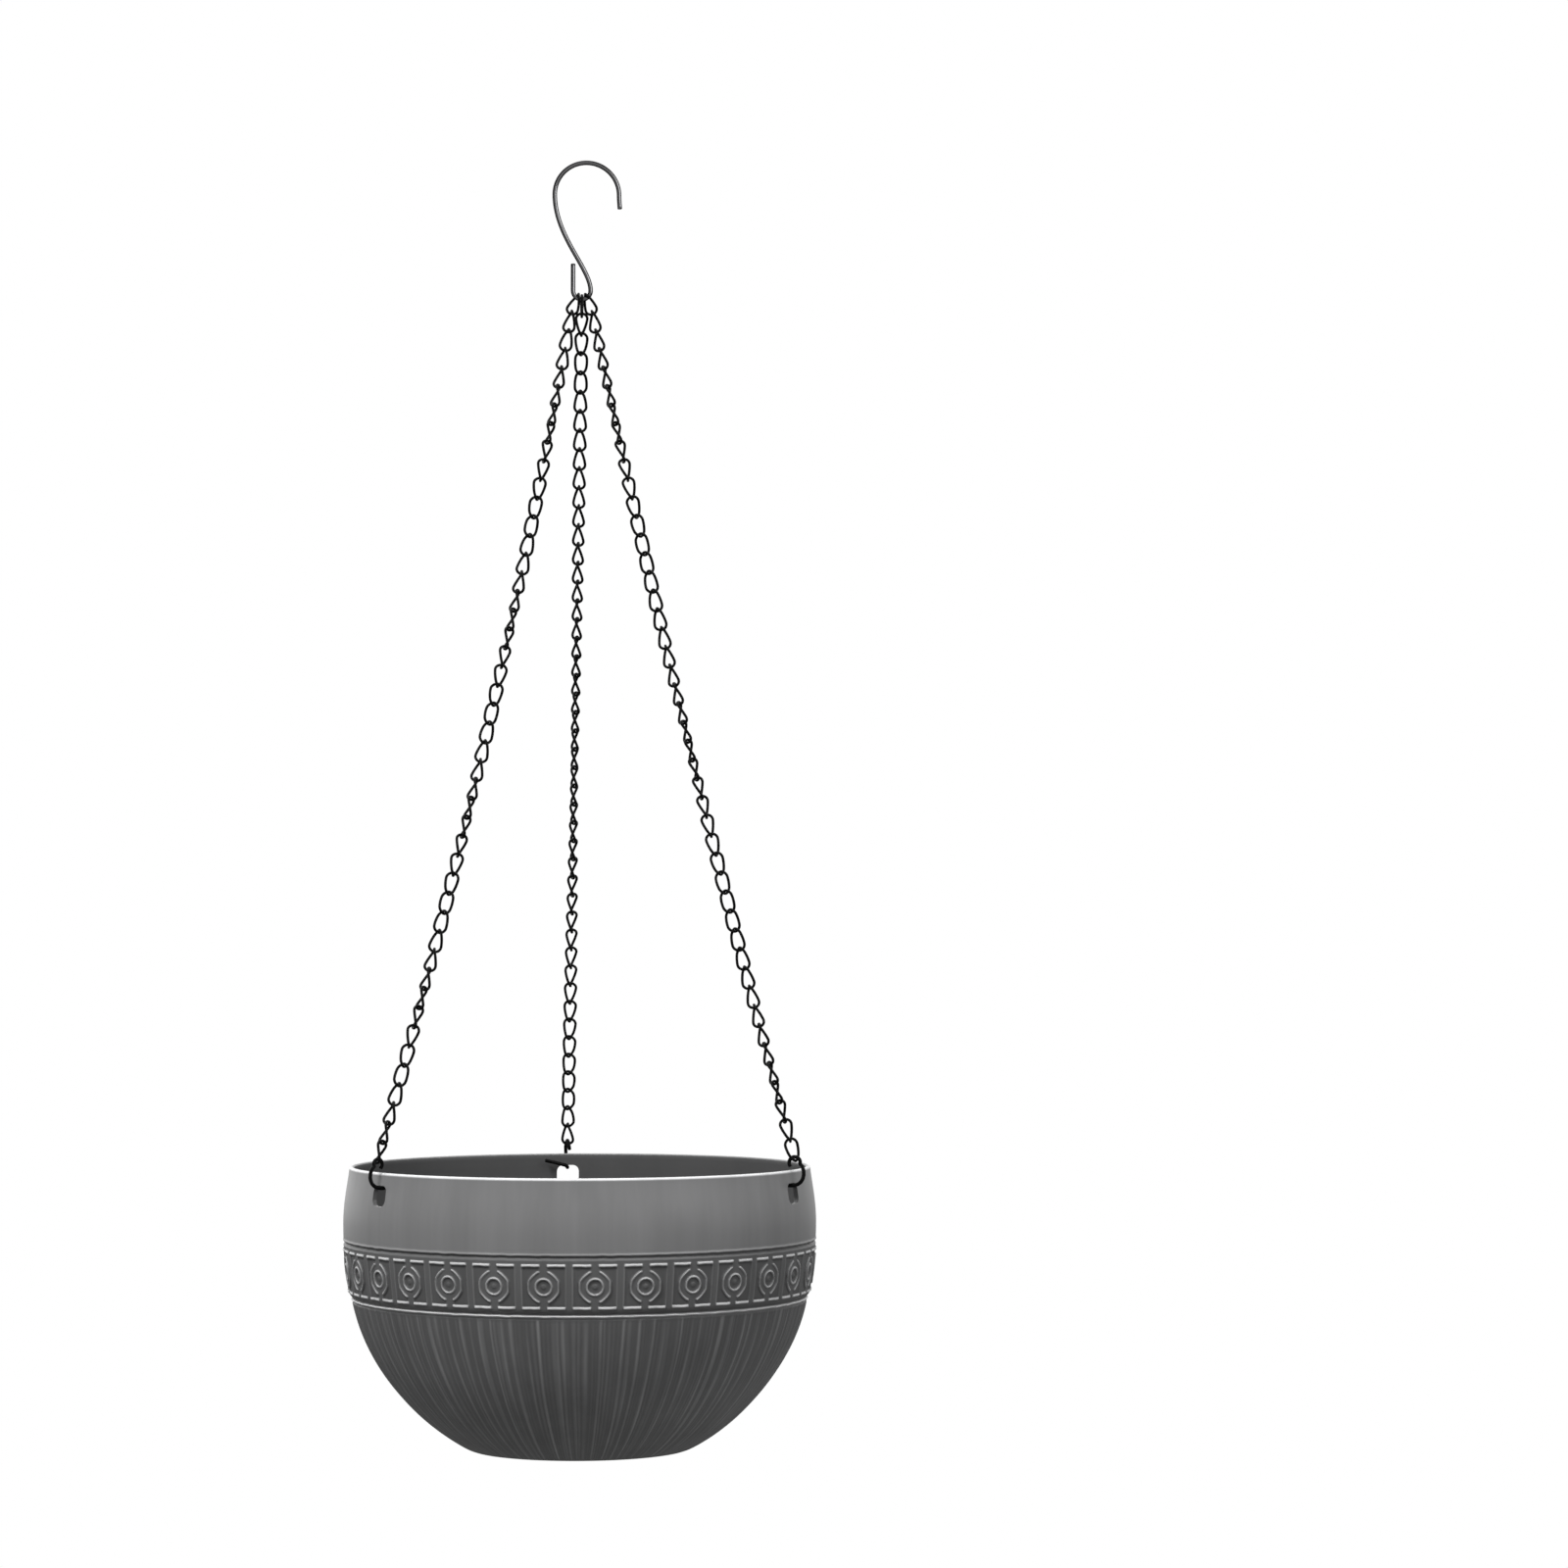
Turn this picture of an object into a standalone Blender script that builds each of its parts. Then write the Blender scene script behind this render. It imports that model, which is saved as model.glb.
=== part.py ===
"""Hanging planter basket: a moulded bowl with a reservoir grid inside, three twisted-link chains
and an S-hook.

Frame: +Z up, origin at the centre of the bowl's flat base. The S-hook lies in the XZ plane, the
left chain towards -X, the right one towards +X and the back one towards +Y.
Lengths are millimetres; M turns them into metres. Angles are degrees.
"""

import math

import bmesh
import bpy
from mathutils import Matrix, Vector

M = 0.001
UP = Vector((0, 0, 1))
WELD = 1e-6  # metres within which a converted mesh's vertices are joined
TURN_WELD = 1e-5  # metres, the same for turned shapes

# Bowl
RIM_Z = 151.6  # top of the rim above the base
RIM_R = 124.0  # outer radius at the rim
RIM_BEVEL, RIM_BEVEL_H = 0.7, 0.6  # the rim's bevelled edges, across and down
BELLY_R, BELLY_Z = 127.2, 122.0  # widest ring
BAND_TOP, BAND_LOW = 112.0, 84.0  # the two grooves that bound the frieze band
BAND_R = 127.0
BAND_FOOT_Z = BAND_LOW - 3.2  # where the plain lower body starts
BASE_R = 59.5  # flat base
WALL, FLOOR = 2.5, 3.0
FLOOR_INSET = 6.0  # from the inner wall's lowest ring in to the flat floor
BOWL_STEPS = 42
HOLE_Z, HOLE_W, HOLE_H, HOLE_CORNER = 139.5, 12.5, 11.0, 3.6  # chain holes
HOLE_CUT = 30.0  # depth of the hole cutters
AZIMUTHS = {"left": 210.0, "right": 330.0, "back": 90.0}

# Chain
LINK_R = 0.69  # wire radius
LINK_HALF_L, LINK_HALF_W = 5.89, 3.2  # centreline half length and half width
LINK_TWIST = 90.0
LINKS, RUN = 44, 3  # links below the top and second ones, and how many make a run
RUN_LINK_R = LINK_R * 1.06  # wire radius in the runs
BITE = 0.3  # overlap of the links inside a run
GAP = 0.3  # left between links that hang in each other
RUN_PITCH = 2 * LINK_HALF_L - 2 * LINK_R + BITE
HANG = 2 * LINK_HALF_L - 2 * LINK_R - GAP  # from a link's apex to the apex of the link in it
FINE = (-90, -60, -30, 0, 30, 60, 90)  # angles sampled on a link's ends, from the apex
COARSE = (-52, 0, 52)  # the same in the runs
LENGTH_SAMPLES = 200  # steps that measure a chain's length
SAG = {"left": 7.0, "right": 4.0, "back": 4.0}  # how far a chain hangs inside its straight line
# Each chain is wound a little. The pairs are a link, counted from the second one, and the angle
# of its width at mid length about the chain, from the world X, in degrees.
WINDING = {
    "left": ((0, 135), (1, 146), (5.5, 90), (16.1, -90), (36.2, -450), (44, -590)),
    "right": ((0, 125), (4.8, 90), (11.4, 0), (22.1, -90), (30.2, -180), (40.7, -270), (44, -320)),
    "back": (
        (0, 38), (2.2, 0), (4, -30), (15, -70), (22, -90), (28, -105), (34.5, -137), (41.8, -180),
        (44, -225),
    ),
}

# S-hook
HOOK_R = 1.2  # wire radius
CROWN_X, CROWN_Z, CROWN_ARC = 2.7, 678.1, 17.5  # upper bend, over the support
TIP_OUT, TIP_DROP = 0.4, 7.3  # the tip from the crown's +X end
BEND_Z, BEND_ARC = 625.7, 4.77  # lower bend, holding the chains
SHANK_HANDLES_Z = 655.0, 638.0  # Bezier handles below the crown and above the lower bend
HOOK_TAIL_Z = 640.1

# Top links, on the lower bend
SIDES = {"left": -1, "right": 1, "back": 0}  # which way along X a top link sits and leans
LINK_ON_BEND = 44.0  # between neighbouring top links along the bend
TOP_LEAN = 21.5  # outward lean of the side top links
TOP_ROLL = 90.0
TOP_APEX_R = BEND_ARC - HOOK_R - LINK_R - GAP  # a top link's apex, from the bend's centre
AXIS_DROP = 1.2  # the front swing's axis below the second links' tops

# Chain hooks at the bowl
CLIP_R = 0.9  # wire radius
CLIP_X = RIM_R + 2.4  # distance of the eye from the bowl's axis
CLIP_EYE = 2.9  # radius of the eye's centreline
CLIP_EYE_Z = 155.9
CLIP_EYE_STEP = 0.24  # sideways drift between the eye's points
CLIP_LINK_GAP = GAP + 0.1  # left between the eye and the last link
CLIP_CROSS_Z = HOLE_Z + HOLE_H / 2 - 0.5 - CLIP_R  # wire centre where it crosses the wall
# Bezier handles of the wire below the eye: (outward, up)
CLIP_HANDLES = (CLIP_X + 5.98, CLIP_EYE_Z - 3.2), (CLIP_X + 6.58, CLIP_CROSS_Z)
# Tail inside the bowl: (outward from the wall's inner face, sideways, up from CLIP_CROSS_Z)
CLIP_TAIL = (-0.2, 0.4, 0.35), (-1.6, 1.4, 1.3), (-2.7, 4.0, 2.1), (-4.2, 13.0, 4.4)

# Reservoir grid
GRID_R = 95.0
GRID_TOP = 39.5
GRID_THICK = 3.0
GRID_RIM_W = 9.4
GRID_FOOT_Z = FLOOR + 0.3
GRID_TURN = 30.0  # azimuth of the first spoke
GRID_STEPS = 48
SPOKE_HALF = 2.6
MESH_PITCH, MESH_HOLE = 13.8, 9.8
MESH_START = 0.75  # the first row's centre, in pitches from the grid's centre
MESH_CUP_GAP = 0.6  # kept between the holes and the cups
CUP_RING = 57.0  # the cups' distance from the centre
CUP_R, CUP_LIP, CUP_FOOT_R = 9.0, 2.2, 7.4
CUP_LIP_TAPER = 0.6  # the lip is this much narrower at its top
CUP_LIP_DROP = 0.7  # the lip's lower edge below the plate
CUP_COLLAR = 0.6  # stands proud of the plate
CUP_FLOOR = 2.0
CUP_FOOT_WALL = 2.0
CUP_STEPS = 16
CUP_OPENING_R = CUP_R + 0.9  # opening in the plate, inside the cup's wall
CUP_OPENING_TURN = 0.1  # radians


# ---------------------------------------------------------------- scene and materials
for old in list(bpy.data.objects):
    bpy.data.objects.remove(old, do_unlink=True)

model = bpy.data.collections.new("hanging_basket")
cutters = bpy.data.collections.new("cutters")
bpy.context.scene.collection.children.link(model)
bpy.context.scene.collection.children.link(cutters)


def material(name, colour, roughness, metallic):
    mat = bpy.data.materials.new(name)
    mat.use_nodes = True
    shader = mat.node_tree.nodes["Principled BSDF"]
    shader.inputs["Base Color"].default_value = (*colour, 1.0)
    shader.inputs["Roughness"].default_value = roughness
    shader.inputs["Metallic"].default_value = metallic
    return mat


PLASTIC = material("grey_plastic", colour=(0.10, 0.10, 0.10), roughness=0.45, metallic=0.0)
GRID_PLASTIC = material(
    "dark_grey_plastic", colour=(0.045, 0.045, 0.045), roughness=0.5, metallic=0.0
)
CHROME = material("plated_steel", colour=(0.55, 0.55, 0.57), roughness=0.18, metallic=1.0)
BLACK_WIRE = material("black_wire", colour=(0.012, 0.012, 0.012), roughness=0.4, metallic=0.6)


# ---------------------------------------------------------------- objects
def place(name, data, mat, matrix=None, parent=None, where=model):
    obj = bpy.data.objects.new(name, data)
    where.objects.link(obj)
    if mat is not None:
        data.materials.append(mat)
    obj.parent = parent
    if matrix is not None:
        obj.matrix_world = matrix
    return obj


def pivot(name, z):
    """An empty on the Z axis."""
    empty = bpy.data.objects.new(name, None)
    empty.location = Vector((0, 0, z)) * M
    empty.empty_display_size = 0.01
    model.objects.link(empty)
    return empty


def adopt(child, parent):
    """Parents the child and keeps it in its place."""
    bpy.context.view_layer.update()
    world = child.matrix_world.copy()
    child.parent = parent
    child.matrix_world = world
    bpy.context.view_layer.update()


def add_polyline(curve, points, cyclic):
    """Adds a spline through points (x, y) or (x, y, z)."""
    spline = curve.splines.new("POLY")
    spline.points.add(len(points) - 1)
    for point, at in zip(spline.points, points):
        x, y, z = (*at, 0.0)[:3]
        point.co = (x * M, y * M, z * M, 1.0)
    spline.use_cyclic_u = cyclic


def wire(name, points, radius, bevel_resolution, cyclic=False):
    """A round wire along a polyline."""
    curve = bpy.data.curves.new(name, "CURVE")
    curve.dimensions = "3D"
    curve.bevel_depth = radius * M
    curve.bevel_resolution = bevel_resolution
    curve.use_fill_caps = True
    add_polyline(curve, points, cyclic)
    return curve


def flat_plate(name, loops, thickness):
    """A plate centred on its XY plane: the first loop is its outline, the others are holes."""
    curve = bpy.data.curves.new(name, "CURVE")
    curve.dimensions = "2D"
    curve.fill_mode = "BOTH"
    curve.extrude = thickness / 2 * M
    for loop in loops:
        add_polyline(curve, loop, cyclic=True)
    return curve


def turned(name, profile, steps, mat, matrix=None, where=model):
    """A profile of (radius, height) turned about Z by a Screw modifier."""
    mesh = bpy.data.meshes.new(name)
    mesh.from_pydata(
        [(r * M, 0.0, z * M) for r, z in profile],
        [(i, i + 1) for i in range(len(profile) - 1)],
        [],
    )
    obj = place(name, mesh, mat, matrix, where=where)
    screw = obj.modifiers.new("turn", "SCREW")
    screw.steps = screw.render_steps = steps
    screw.angle = math.tau
    screw.use_merge_vertices = True
    screw.merge_threshold = TURN_WELD
    return obj


def as_mesh(obj, name, triangulate=False):
    """The object's evaluated shape as a new mesh with its caps welded on."""
    bpy.context.view_layer.update()
    graph = bpy.context.evaluated_depsgraph_get()
    mesh = bpy.data.meshes.new_from_object(obj.evaluated_get(graph))
    mesh.name = name
    bm = bmesh.new()
    bm.from_mesh(mesh)
    bmesh.ops.remove_doubles(bm, verts=bm.verts, dist=WELD)
    if triangulate:
        bmesh.ops.triangulate(bm, faces=bm.faces)
    bm.to_mesh(mesh)
    bm.free()
    return mesh


def convert(obj, triangulate=False):
    """Turns a curve object into a mesh object of the same name and place."""
    name = obj.name
    mesh = as_mesh(obj, name, triangulate)
    world = obj.matrix_world.copy()
    collection = obj.users_collection[0]
    bpy.data.objects.remove(obj, do_unlink=True)
    return place(name, mesh, None, world, where=collection)


def boolean(target, tool, operation, solver="EXACT"):
    """Adds a Boolean and hides the tool it uses."""
    modifier = target.modifiers.new(tool.name, "BOOLEAN")
    modifier.operation = operation
    modifier.object = tool
    modifier.solver = solver
    tool.hide_render = True
    tool.display_type = "WIRE"


# ---------------------------------------------------------------- geometry
def bezier(start, handle_a, handle_b, end, count):
    """count + 1 points in the plane along a cubic Bezier curve."""
    found = []
    for i in range(count + 1):
        t = i / count
        u = 1 - t
        weights = (u**3, 3 * u * u * t, 3 * u * t * t, t**3)
        controls = (start, handle_a, handle_b, end)
        found.append(tuple(sum(w * p[k] for w, p in zip(weights, controls)) for k in (0, 1)))
    return found


def arc(centre_x, centre_y, radius, start, end, count):
    """count + 1 points in the plane along an arc."""
    angles = [math.radians(start + (end - start) * i / count) for i in range(count + 1)]
    return [(centre_x + radius * math.cos(a), centre_y + radius * math.sin(a)) for a in angles]


def circle(radius, count, centre=(0.0, 0.0), start=0.0):
    """A closed ring of points; start is in radians."""
    angles = [math.tau * i / count + start for i in range(count)]
    return [(centre[0] + radius * math.cos(a), centre[1] + radius * math.sin(a)) for a in angles]


def radial(azimuth):
    """Unit vector outward from the Z axis."""
    angle = math.radians(azimuth)
    return Vector((math.cos(angle), math.sin(angle), 0.0))


def frame(x_axis, y_axis, z_axis, at=Vector((0, 0, 0))):
    basis = Matrix((x_axis, y_axis, z_axis)).transposed().to_4x4()
    basis.translation = at * M
    return basis


def frame_along(down, roll, at):
    """Local -Z runs along down; roll turns local X about it, from the world X."""
    z = -down.normalized()
    x = (Vector((1, 0, 0)) - z * z.x).normalized()
    y = z.cross(x)
    c, s = math.cos(math.radians(roll)), math.sin(math.radians(roll))
    return frame(x * c + y * s, y * c - x * s, z, at)


# ---------------------------------------------------------------- bowl
# Stations (radius, height) and Bezier handles, from the rim down
RIM_HANDLES = (RIM_R + 1.0, 142.0), (BELLY_R, 133.0)
BELLY = (BELLY_R, BELLY_Z)
BODY_HANDLES = (117.0, 51.0), (93.0, 17.0)
BASE_EDGE = (BASE_R, 0.0)
OUTER_BAND = [
    (126.9, BAND_TOP + 1.2),
    (126.0, BAND_TOP),
    (BAND_R, BAND_TOP - 1.4),
    (126.3, 98.5),
    (123.6, BAND_LOW + 2.0),
    (121.8, BAND_LOW - 0.2),
    (122.3, BAND_FOOT_Z),
]
# The inner wall follows this curve, which leaves the grooves out
PLAIN_BAND = (126.4, 109.0), (125.6, 96.0), (123.0, 86.0), (122.0, BAND_FOOT_Z)


def outer_outline():
    """(radius, height) down the outer side, from the rim to the base."""
    upper = bezier((RIM_R, RIM_Z - RIM_BEVEL_H), *RIM_HANDLES, BELLY, 3)
    lower = bezier(OUTER_BAND[-1], *BODY_HANDLES, BASE_EDGE, 7)
    return upper + OUTER_BAND + lower[1:]


def plain_outline():
    """The outer side without its grooves, from the rim to the base."""
    upper = bezier((RIM_R, RIM_Z), *RIM_HANDLES, BELLY, 2)
    lower = bezier(PLAIN_BAND[-1], *BODY_HANDLES, BASE_EDGE, 6)
    return upper + bezier(*PLAIN_BAND, 2) + lower[1:]


def inward(outline, distance):
    """A downward outline moved towards its inner side."""
    found = []
    for i, (r, z) in enumerate(outline):
        before = outline[max(0, i - 1)]
        after = outline[min(len(outline) - 1, i + 1)]
        dr, dz = after[0] - before[0], after[1] - before[1]
        length = math.hypot(dr, dz)
        found.append((r + dz / length * distance, z - dr / length * distance))
    return found


def hole_outline():
    """The chain hole, a rounded rectangle."""
    points = []
    for sign_x, sign_y, start in ((1, 1, 0), (-1, 1, 90), (-1, -1, 180), (1, -1, 270)):
        corner_x = sign_x * (HOLE_W / 2 - HOLE_CORNER)
        corner_y = sign_y * (HOLE_H / 2 - HOLE_CORNER)
        points += arc(corner_x, corner_y, HOLE_CORNER, start, start + 90, 3)
    return points


def build_bowl():
    inner = [
        (r, z) for r, z in inward(plain_outline(), WALL) if FLOOR + 0.2 < z < RIM_Z - 2.0
    ]
    inner_rim = RIM_R - WALL
    profile = (
        [(0.0, FLOOR), (inner[-1][0] - FLOOR_INSET, FLOOR)]
        + inner[::-1]
        + [(inner_rim, RIM_Z - RIM_BEVEL_H), (inner_rim + RIM_BEVEL, RIM_Z)]
        + [(RIM_R - RIM_BEVEL, RIM_Z)]
        + outer_outline()
        + [(0.0, 0.0)]
    )
    bowl = turned("bowl", profile, BOWL_STEPS, PLASTIC)
    bowl.modifiers["turn"].use_smooth_shade = True

    for chain, azimuth in AZIMUTHS.items():
        out = radial(azimuth)
        name = "hole_cutter_" + chain
        curve = flat_plate(name, [hole_outline()], HOLE_CUT)
        matrix = frame(UP.cross(out), UP, out, out * RIM_R + UP * HOLE_Z)
        cutter = place(name, curve, None, matrix, where=cutters)
        boolean(bowl, convert(cutter), "DIFFERENCE")
    return bowl


# ---------------------------------------------------------------- reservoir grid
def mesh_holes():
    """Square holes of the three sectors, each laid out along its own sector's middle line."""
    holes = []
    spokes = [radial(GRID_TURN + 120 * i).to_2d() for i in range(3)]
    reach = GRID_R - GRID_RIM_W
    cup_reach = CUP_R + CUP_LIP + MESH_CUP_GAP
    steps = int(reach / MESH_PITCH) + 1
    for sector in range(3):
        middle = radial(GRID_TURN + 60 + 120 * sector).to_2d()
        across = Vector((-middle.y, middle.x))

        def from_spoke(point):
            """Distance from the nearer spoke's centreline; negative outside the sector."""
            angle = abs(math.atan2(point.dot(across), point.dot(middle)))
            return point.length * math.sin(math.pi / 3 - angle)

        for i in range(steps):
            for j in range(-steps, steps + 1):
                centre = middle * (i + MESH_START) * MESH_PITCH + across * j * MESH_PITCH
                corners = [
                    centre + (middle * along + across * aside) * MESH_HOLE / 2
                    for along, aside in ((1, 1), (-1, 1), (-1, -1), (1, -1))
                ]
                if any(p.length > reach or from_spoke(p) < SPOKE_HALF for p in corners):
                    continue
                if any(
                    (p - spoke * CUP_RING).length < cup_reach
                    for p in corners + [centre]
                    for spoke in spokes
                ):
                    continue
                holes.append([(p.x, p.y) for p in corners])
    return holes


def build_grid():
    """A perforated plate with three cups that stand just above the bowl's floor."""
    cup_centres = [radial(GRID_TURN + 120 * i) * CUP_RING for i in range(3)]
    openings = [
        circle(CUP_OPENING_R, CUP_STEPS, (c.x, c.y), CUP_OPENING_TURN) for c in cup_centres
    ]
    loops = [circle(GRID_R, GRID_STEPS)] + mesh_holes() + openings
    curve = flat_plate("water_grid", loops, GRID_THICK)
    middle = Matrix.Translation((0, 0, (GRID_TOP - GRID_THICK / 2) * M))
    plate = convert(place("water_grid", curve, GRID_PLASTIC, middle))

    cup_profile = [
        (0.0, GRID_FOOT_Z + CUP_FLOOR),
        (CUP_FOOT_R - CUP_FOOT_WALL, GRID_FOOT_Z + CUP_FLOOR),
        (CUP_R, GRID_TOP - GRID_THICK),
        (CUP_R, GRID_TOP + CUP_COLLAR),
        (CUP_R + CUP_LIP - CUP_LIP_TAPER, GRID_TOP + CUP_COLLAR),
        (CUP_R + CUP_LIP, GRID_TOP - GRID_THICK - CUP_LIP_DROP),
        (CUP_FOOT_R, GRID_FOOT_Z),
        (0.0, GRID_FOOT_Z),
    ]
    for i, centre in enumerate(cup_centres):
        matrix = Matrix.Translation(centre * M)
        cup = turned(f"cup_tool_{i}", cup_profile, CUP_STEPS, GRID_PLASTIC, matrix, cutters)
        boolean(plate, cup, "UNION", "MANIFOLD")
    return plate


# ---------------------------------------------------------------- S-hook
def build_hook():
    """Tip, crown, S-shaped shank, lower bend, tail."""
    tip = (CROWN_X + CROWN_ARC + TIP_OUT, CROWN_Z - TIP_DROP)
    crown = arc(CROWN_X, CROWN_Z, CROWN_ARC, 0.0, 180.0, 11)
    crown_end = CROWN_X - CROWN_ARC
    upper_z, lower_z = SHANK_HANDLES_Z
    shank = bezier(
        (crown_end, CROWN_Z), (crown_end, upper_z), (BEND_ARC, lower_z), (BEND_ARC, BEND_Z), 6
    )
    low = arc(0.0, BEND_Z, BEND_ARC, 0.0, -180.0, 8)
    path = [tip] + crown + shank[1:-1] + low + [(-BEND_ARC, HOOK_TAIL_Z)]
    place("hook", wire("hook", [(x, 0.0, z) for x, z in path], HOOK_R, 1), CHROME)


# ---------------------------------------------------------------- chains
def link_points(twist, end_angles):
    """A link's centreline about its own centre, long axis Z: two round ends joined by straights.

    Its width lies along X at the top and has turned by twist at the bottom.
    """
    straight = LINK_HALF_L - LINK_HALF_W
    top = [
        (
            LINK_HALF_W * math.sin(math.radians(a)),
            straight + LINK_HALF_W * math.cos(math.radians(a)),
        )
        for a in end_angles
    ]
    bottom = [(w, -z) for w, z in reversed(top)]
    points = []
    for w, z in top + [(LINK_HALF_W, 0.0)] + bottom + [(-LINK_HALF_W, 0.0)]:
        turn = math.radians(twist) * (0.5 - z / (2 * LINK_HALF_L))
        points.append((w * math.cos(turn), w * math.sin(turn), z))
    return points


def fine_link(name, twist, matrix, parent):
    curve = wire(name, link_points(twist, FINE), LINK_R, 1, cyclic=True)
    place(name, curve, BLACK_WIRE, matrix, parent)


def top_apex(chain):
    """Apex of a top link and the direction the link hangs in."""
    around = math.radians(LINK_ON_BEND * SIDES[chain])
    lean = math.radians(TOP_LEAN * SIDES[chain])
    bend = Vector((0, 0, BEND_Z))
    apex = bend + Vector((math.sin(around), 0, -math.cos(around))) * TOP_APEX_R
    return apex, Vector((math.sin(lean), 0, -math.cos(lean)))


def second_apex(chain):
    apex, down = top_apex(chain)
    return apex + down * HANG


def chain_ends(chain):
    """Apex centres of the second link's top and the last link's bottom."""
    start = second_apex(chain)
    eye_top = radial(AZIMUTHS[chain]) * CLIP_X + Vector((0, 0, CLIP_EYE_Z + CLIP_EYE))
    down = (eye_top - start).normalized()
    return start, eye_top + down * (CLIP_R + LINK_R + CLIP_LINK_GAP)


def chain_point(chain, share):
    """The point at a share of the way down the sagging chain."""
    start, end = chain_ends(chain)
    along = (end - start).normalized()
    down = -UP
    sagging = (down - along * down.dot(along)).normalized()
    return start + (end - start) * share + sagging * (4 * SAG[chain] * share * (1 - share))


def winding_knots(chain):
    """The chain's winding, ended so that the last link's foot lies across its chain hook."""
    start, end = chain_ends(chain)
    local = frame_along((end - start).normalized(), 0.0, Vector((0, 0, 0)))
    tangent = UP.cross(radial(AZIMUTHS[chain]))
    foot = math.degrees(
        math.atan2(tangent.dot(local.col[1].to_3d()), tangent.dot(local.col[0].to_3d()))
    )
    *knots, (last, loose) = WINDING[chain]
    middle = foot - LINK_TWIST / 2
    return knots + [(last, middle + 180.0 * round((loose - middle) / 180.0))]


def roll_at(knots, link):
    """Turn of a link's top about the chain."""
    for (i, start), (j, stop) in zip(knots, knots[1:]):
        if link <= j:
            return start + (stop - start) * (link - i) / (j - i) - LINK_TWIST / 2


def run_mesh(name, rolls):
    """Links that hang in each other, closed up until they hold at their contacts."""
    parts = []
    for i, roll in enumerate(rolls):
        tool = f"link_tool_{name}_{i}"
        curve = wire(tool, link_points(LINK_TWIST, COARSE), RUN_LINK_R, 0, cyclic=True)
        matrix = Matrix.Rotation(math.radians(roll - rolls[0]), 4, "Z")
        matrix.translation = (0, 0, -RUN_PITCH * i * M)
        link = place(tool, curve, None, matrix, where=cutters)
        parts.append(convert(link, triangulate=True))
    for part in parts[1:]:
        boolean(parts[0], part, "UNION")
    mesh = as_mesh(parts[0], name)
    mesh.materials.clear()
    for part in parts:
        bpy.data.objects.remove(part, do_unlink=True)
    return mesh


def build_chain(chain, top_parent, parent):
    """Top link on the S-hook, second link, then runs; the last run has what is left."""
    apex, down = top_apex(chain)
    matrix = frame_along(down, TOP_ROLL, apex + down * LINK_HALF_L)
    fine_link("top_link_" + chain, 0.0 if chain == "back" else LINK_TWIST, matrix, top_parent)

    samples = [chain_point(chain, i / LENGTH_SAMPLES) for i in range(LENGTH_SAMPLES + 1)]
    length = sum((q - p).length for p, q in zip(samples, samples[1:]))
    knots = winding_knots(chain)

    def span_frame(begin, end, link):
        """Frame along the chain between two distances down it, and the first of them."""
        p, q = chain_point(chain, begin / length), chain_point(chain, end / length)
        return frame_along(q - p, roll_at(knots, link), p), (p + q) / 2

    matrix, centre = span_frame(0.0, 2 * LINK_HALF_L, 0)
    matrix.translation = centre * M
    fine_link("second_link_" + chain, LINK_TWIST, matrix, parent)

    runs = math.ceil(LINKS / RUN)
    # Pitch across the gap between two runs
    between = (length - 2 * LINK_HALF_L - (LINKS - runs) * RUN_PITCH) / runs
    for run in range(runs):
        first = 1 + RUN * run
        count = min(RUN, LINKS + 1 - first)
        name = f"chain_{chain}_{run + 1:02d}"
        mesh = run_mesh(name, [roll_at(knots, first + i) for i in range(count)])
        begin = LINK_HALF_L + between + run * (between + (RUN - 1) * RUN_PITCH)
        matrix, _ = span_frame(begin, begin + (count - 1) * RUN_PITCH, first)
        place(name, mesh, BLACK_WIRE, matrix, parent)


# ---------------------------------------------------------------- chain hooks
def clip_path():
    """(outward, sideways, up): open eye, wire swinging out and down and in through the hole, tail."""
    eye_arc = arc(CLIP_X, CLIP_EYE_Z, CLIP_EYE, 225, -15, 8)
    eye = [(out, CLIP_EYE_STEP * (i - 4), z) for i, (out, z) in enumerate(eye_arc)]
    side = eye[-1][1]
    swing = bezier(eye_arc[-1], *CLIP_HANDLES, (RIM_R, CLIP_CROSS_Z), 7)
    # The wire loses a tenth of its sideways offset at each step
    swing = [(out, side * (1 - 0.1 * i), z) for i, (out, z) in enumerate(swing)][1:]
    inner_face = RIM_R - WALL
    tail = [(inner_face + out, aside, CLIP_CROSS_Z + up) for out, aside, up in CLIP_TAIL]
    return eye + swing + tail


def build_chain_hook(chain, parent):
    out = radial(AZIMUTHS[chain])
    name = "chain_hook_" + chain
    curve = wire(name, clip_path(), CLIP_R, 1)
    place(name, curve, BLACK_WIRE, frame(out, UP.cross(out), UP), parent)


# ---------------------------------------------------------------- assembly
bowl = build_bowl()
grid = build_grid()
build_hook()

swing_front_z = (second_apex("back").z + second_apex("left").z) / 2 - AXIS_DROP
top_pivot = pivot("swing_side_pivot", BEND_Z)
basket_pivot = pivot("swing_front_pivot", swing_front_z)
grid_pivot = pivot("grid_lift_pivot", GRID_FOOT_Z)
adopt(basket_pivot, top_pivot)
adopt(grid_pivot, basket_pivot)

for chain in AZIMUTHS:
    build_chain(chain, top_pivot, basket_pivot)
    build_chain_hook(chain, basket_pivot)

adopt(bowl, basket_pivot)
adopt(grid, grid_pivot)
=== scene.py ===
"""A hanging planter: a plastic bowl with a band of ring motifs, a water grid inside it,
three chains of twisted links, and an S-shaped wire hook above.

The bowl's axis is Z and its foot stands on z = 0. The front faces -Y, and left is -X.
"""
import math
import random

import bmesh
import bpy
import numpy as np
from mathutils import Matrix, Vector


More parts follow.
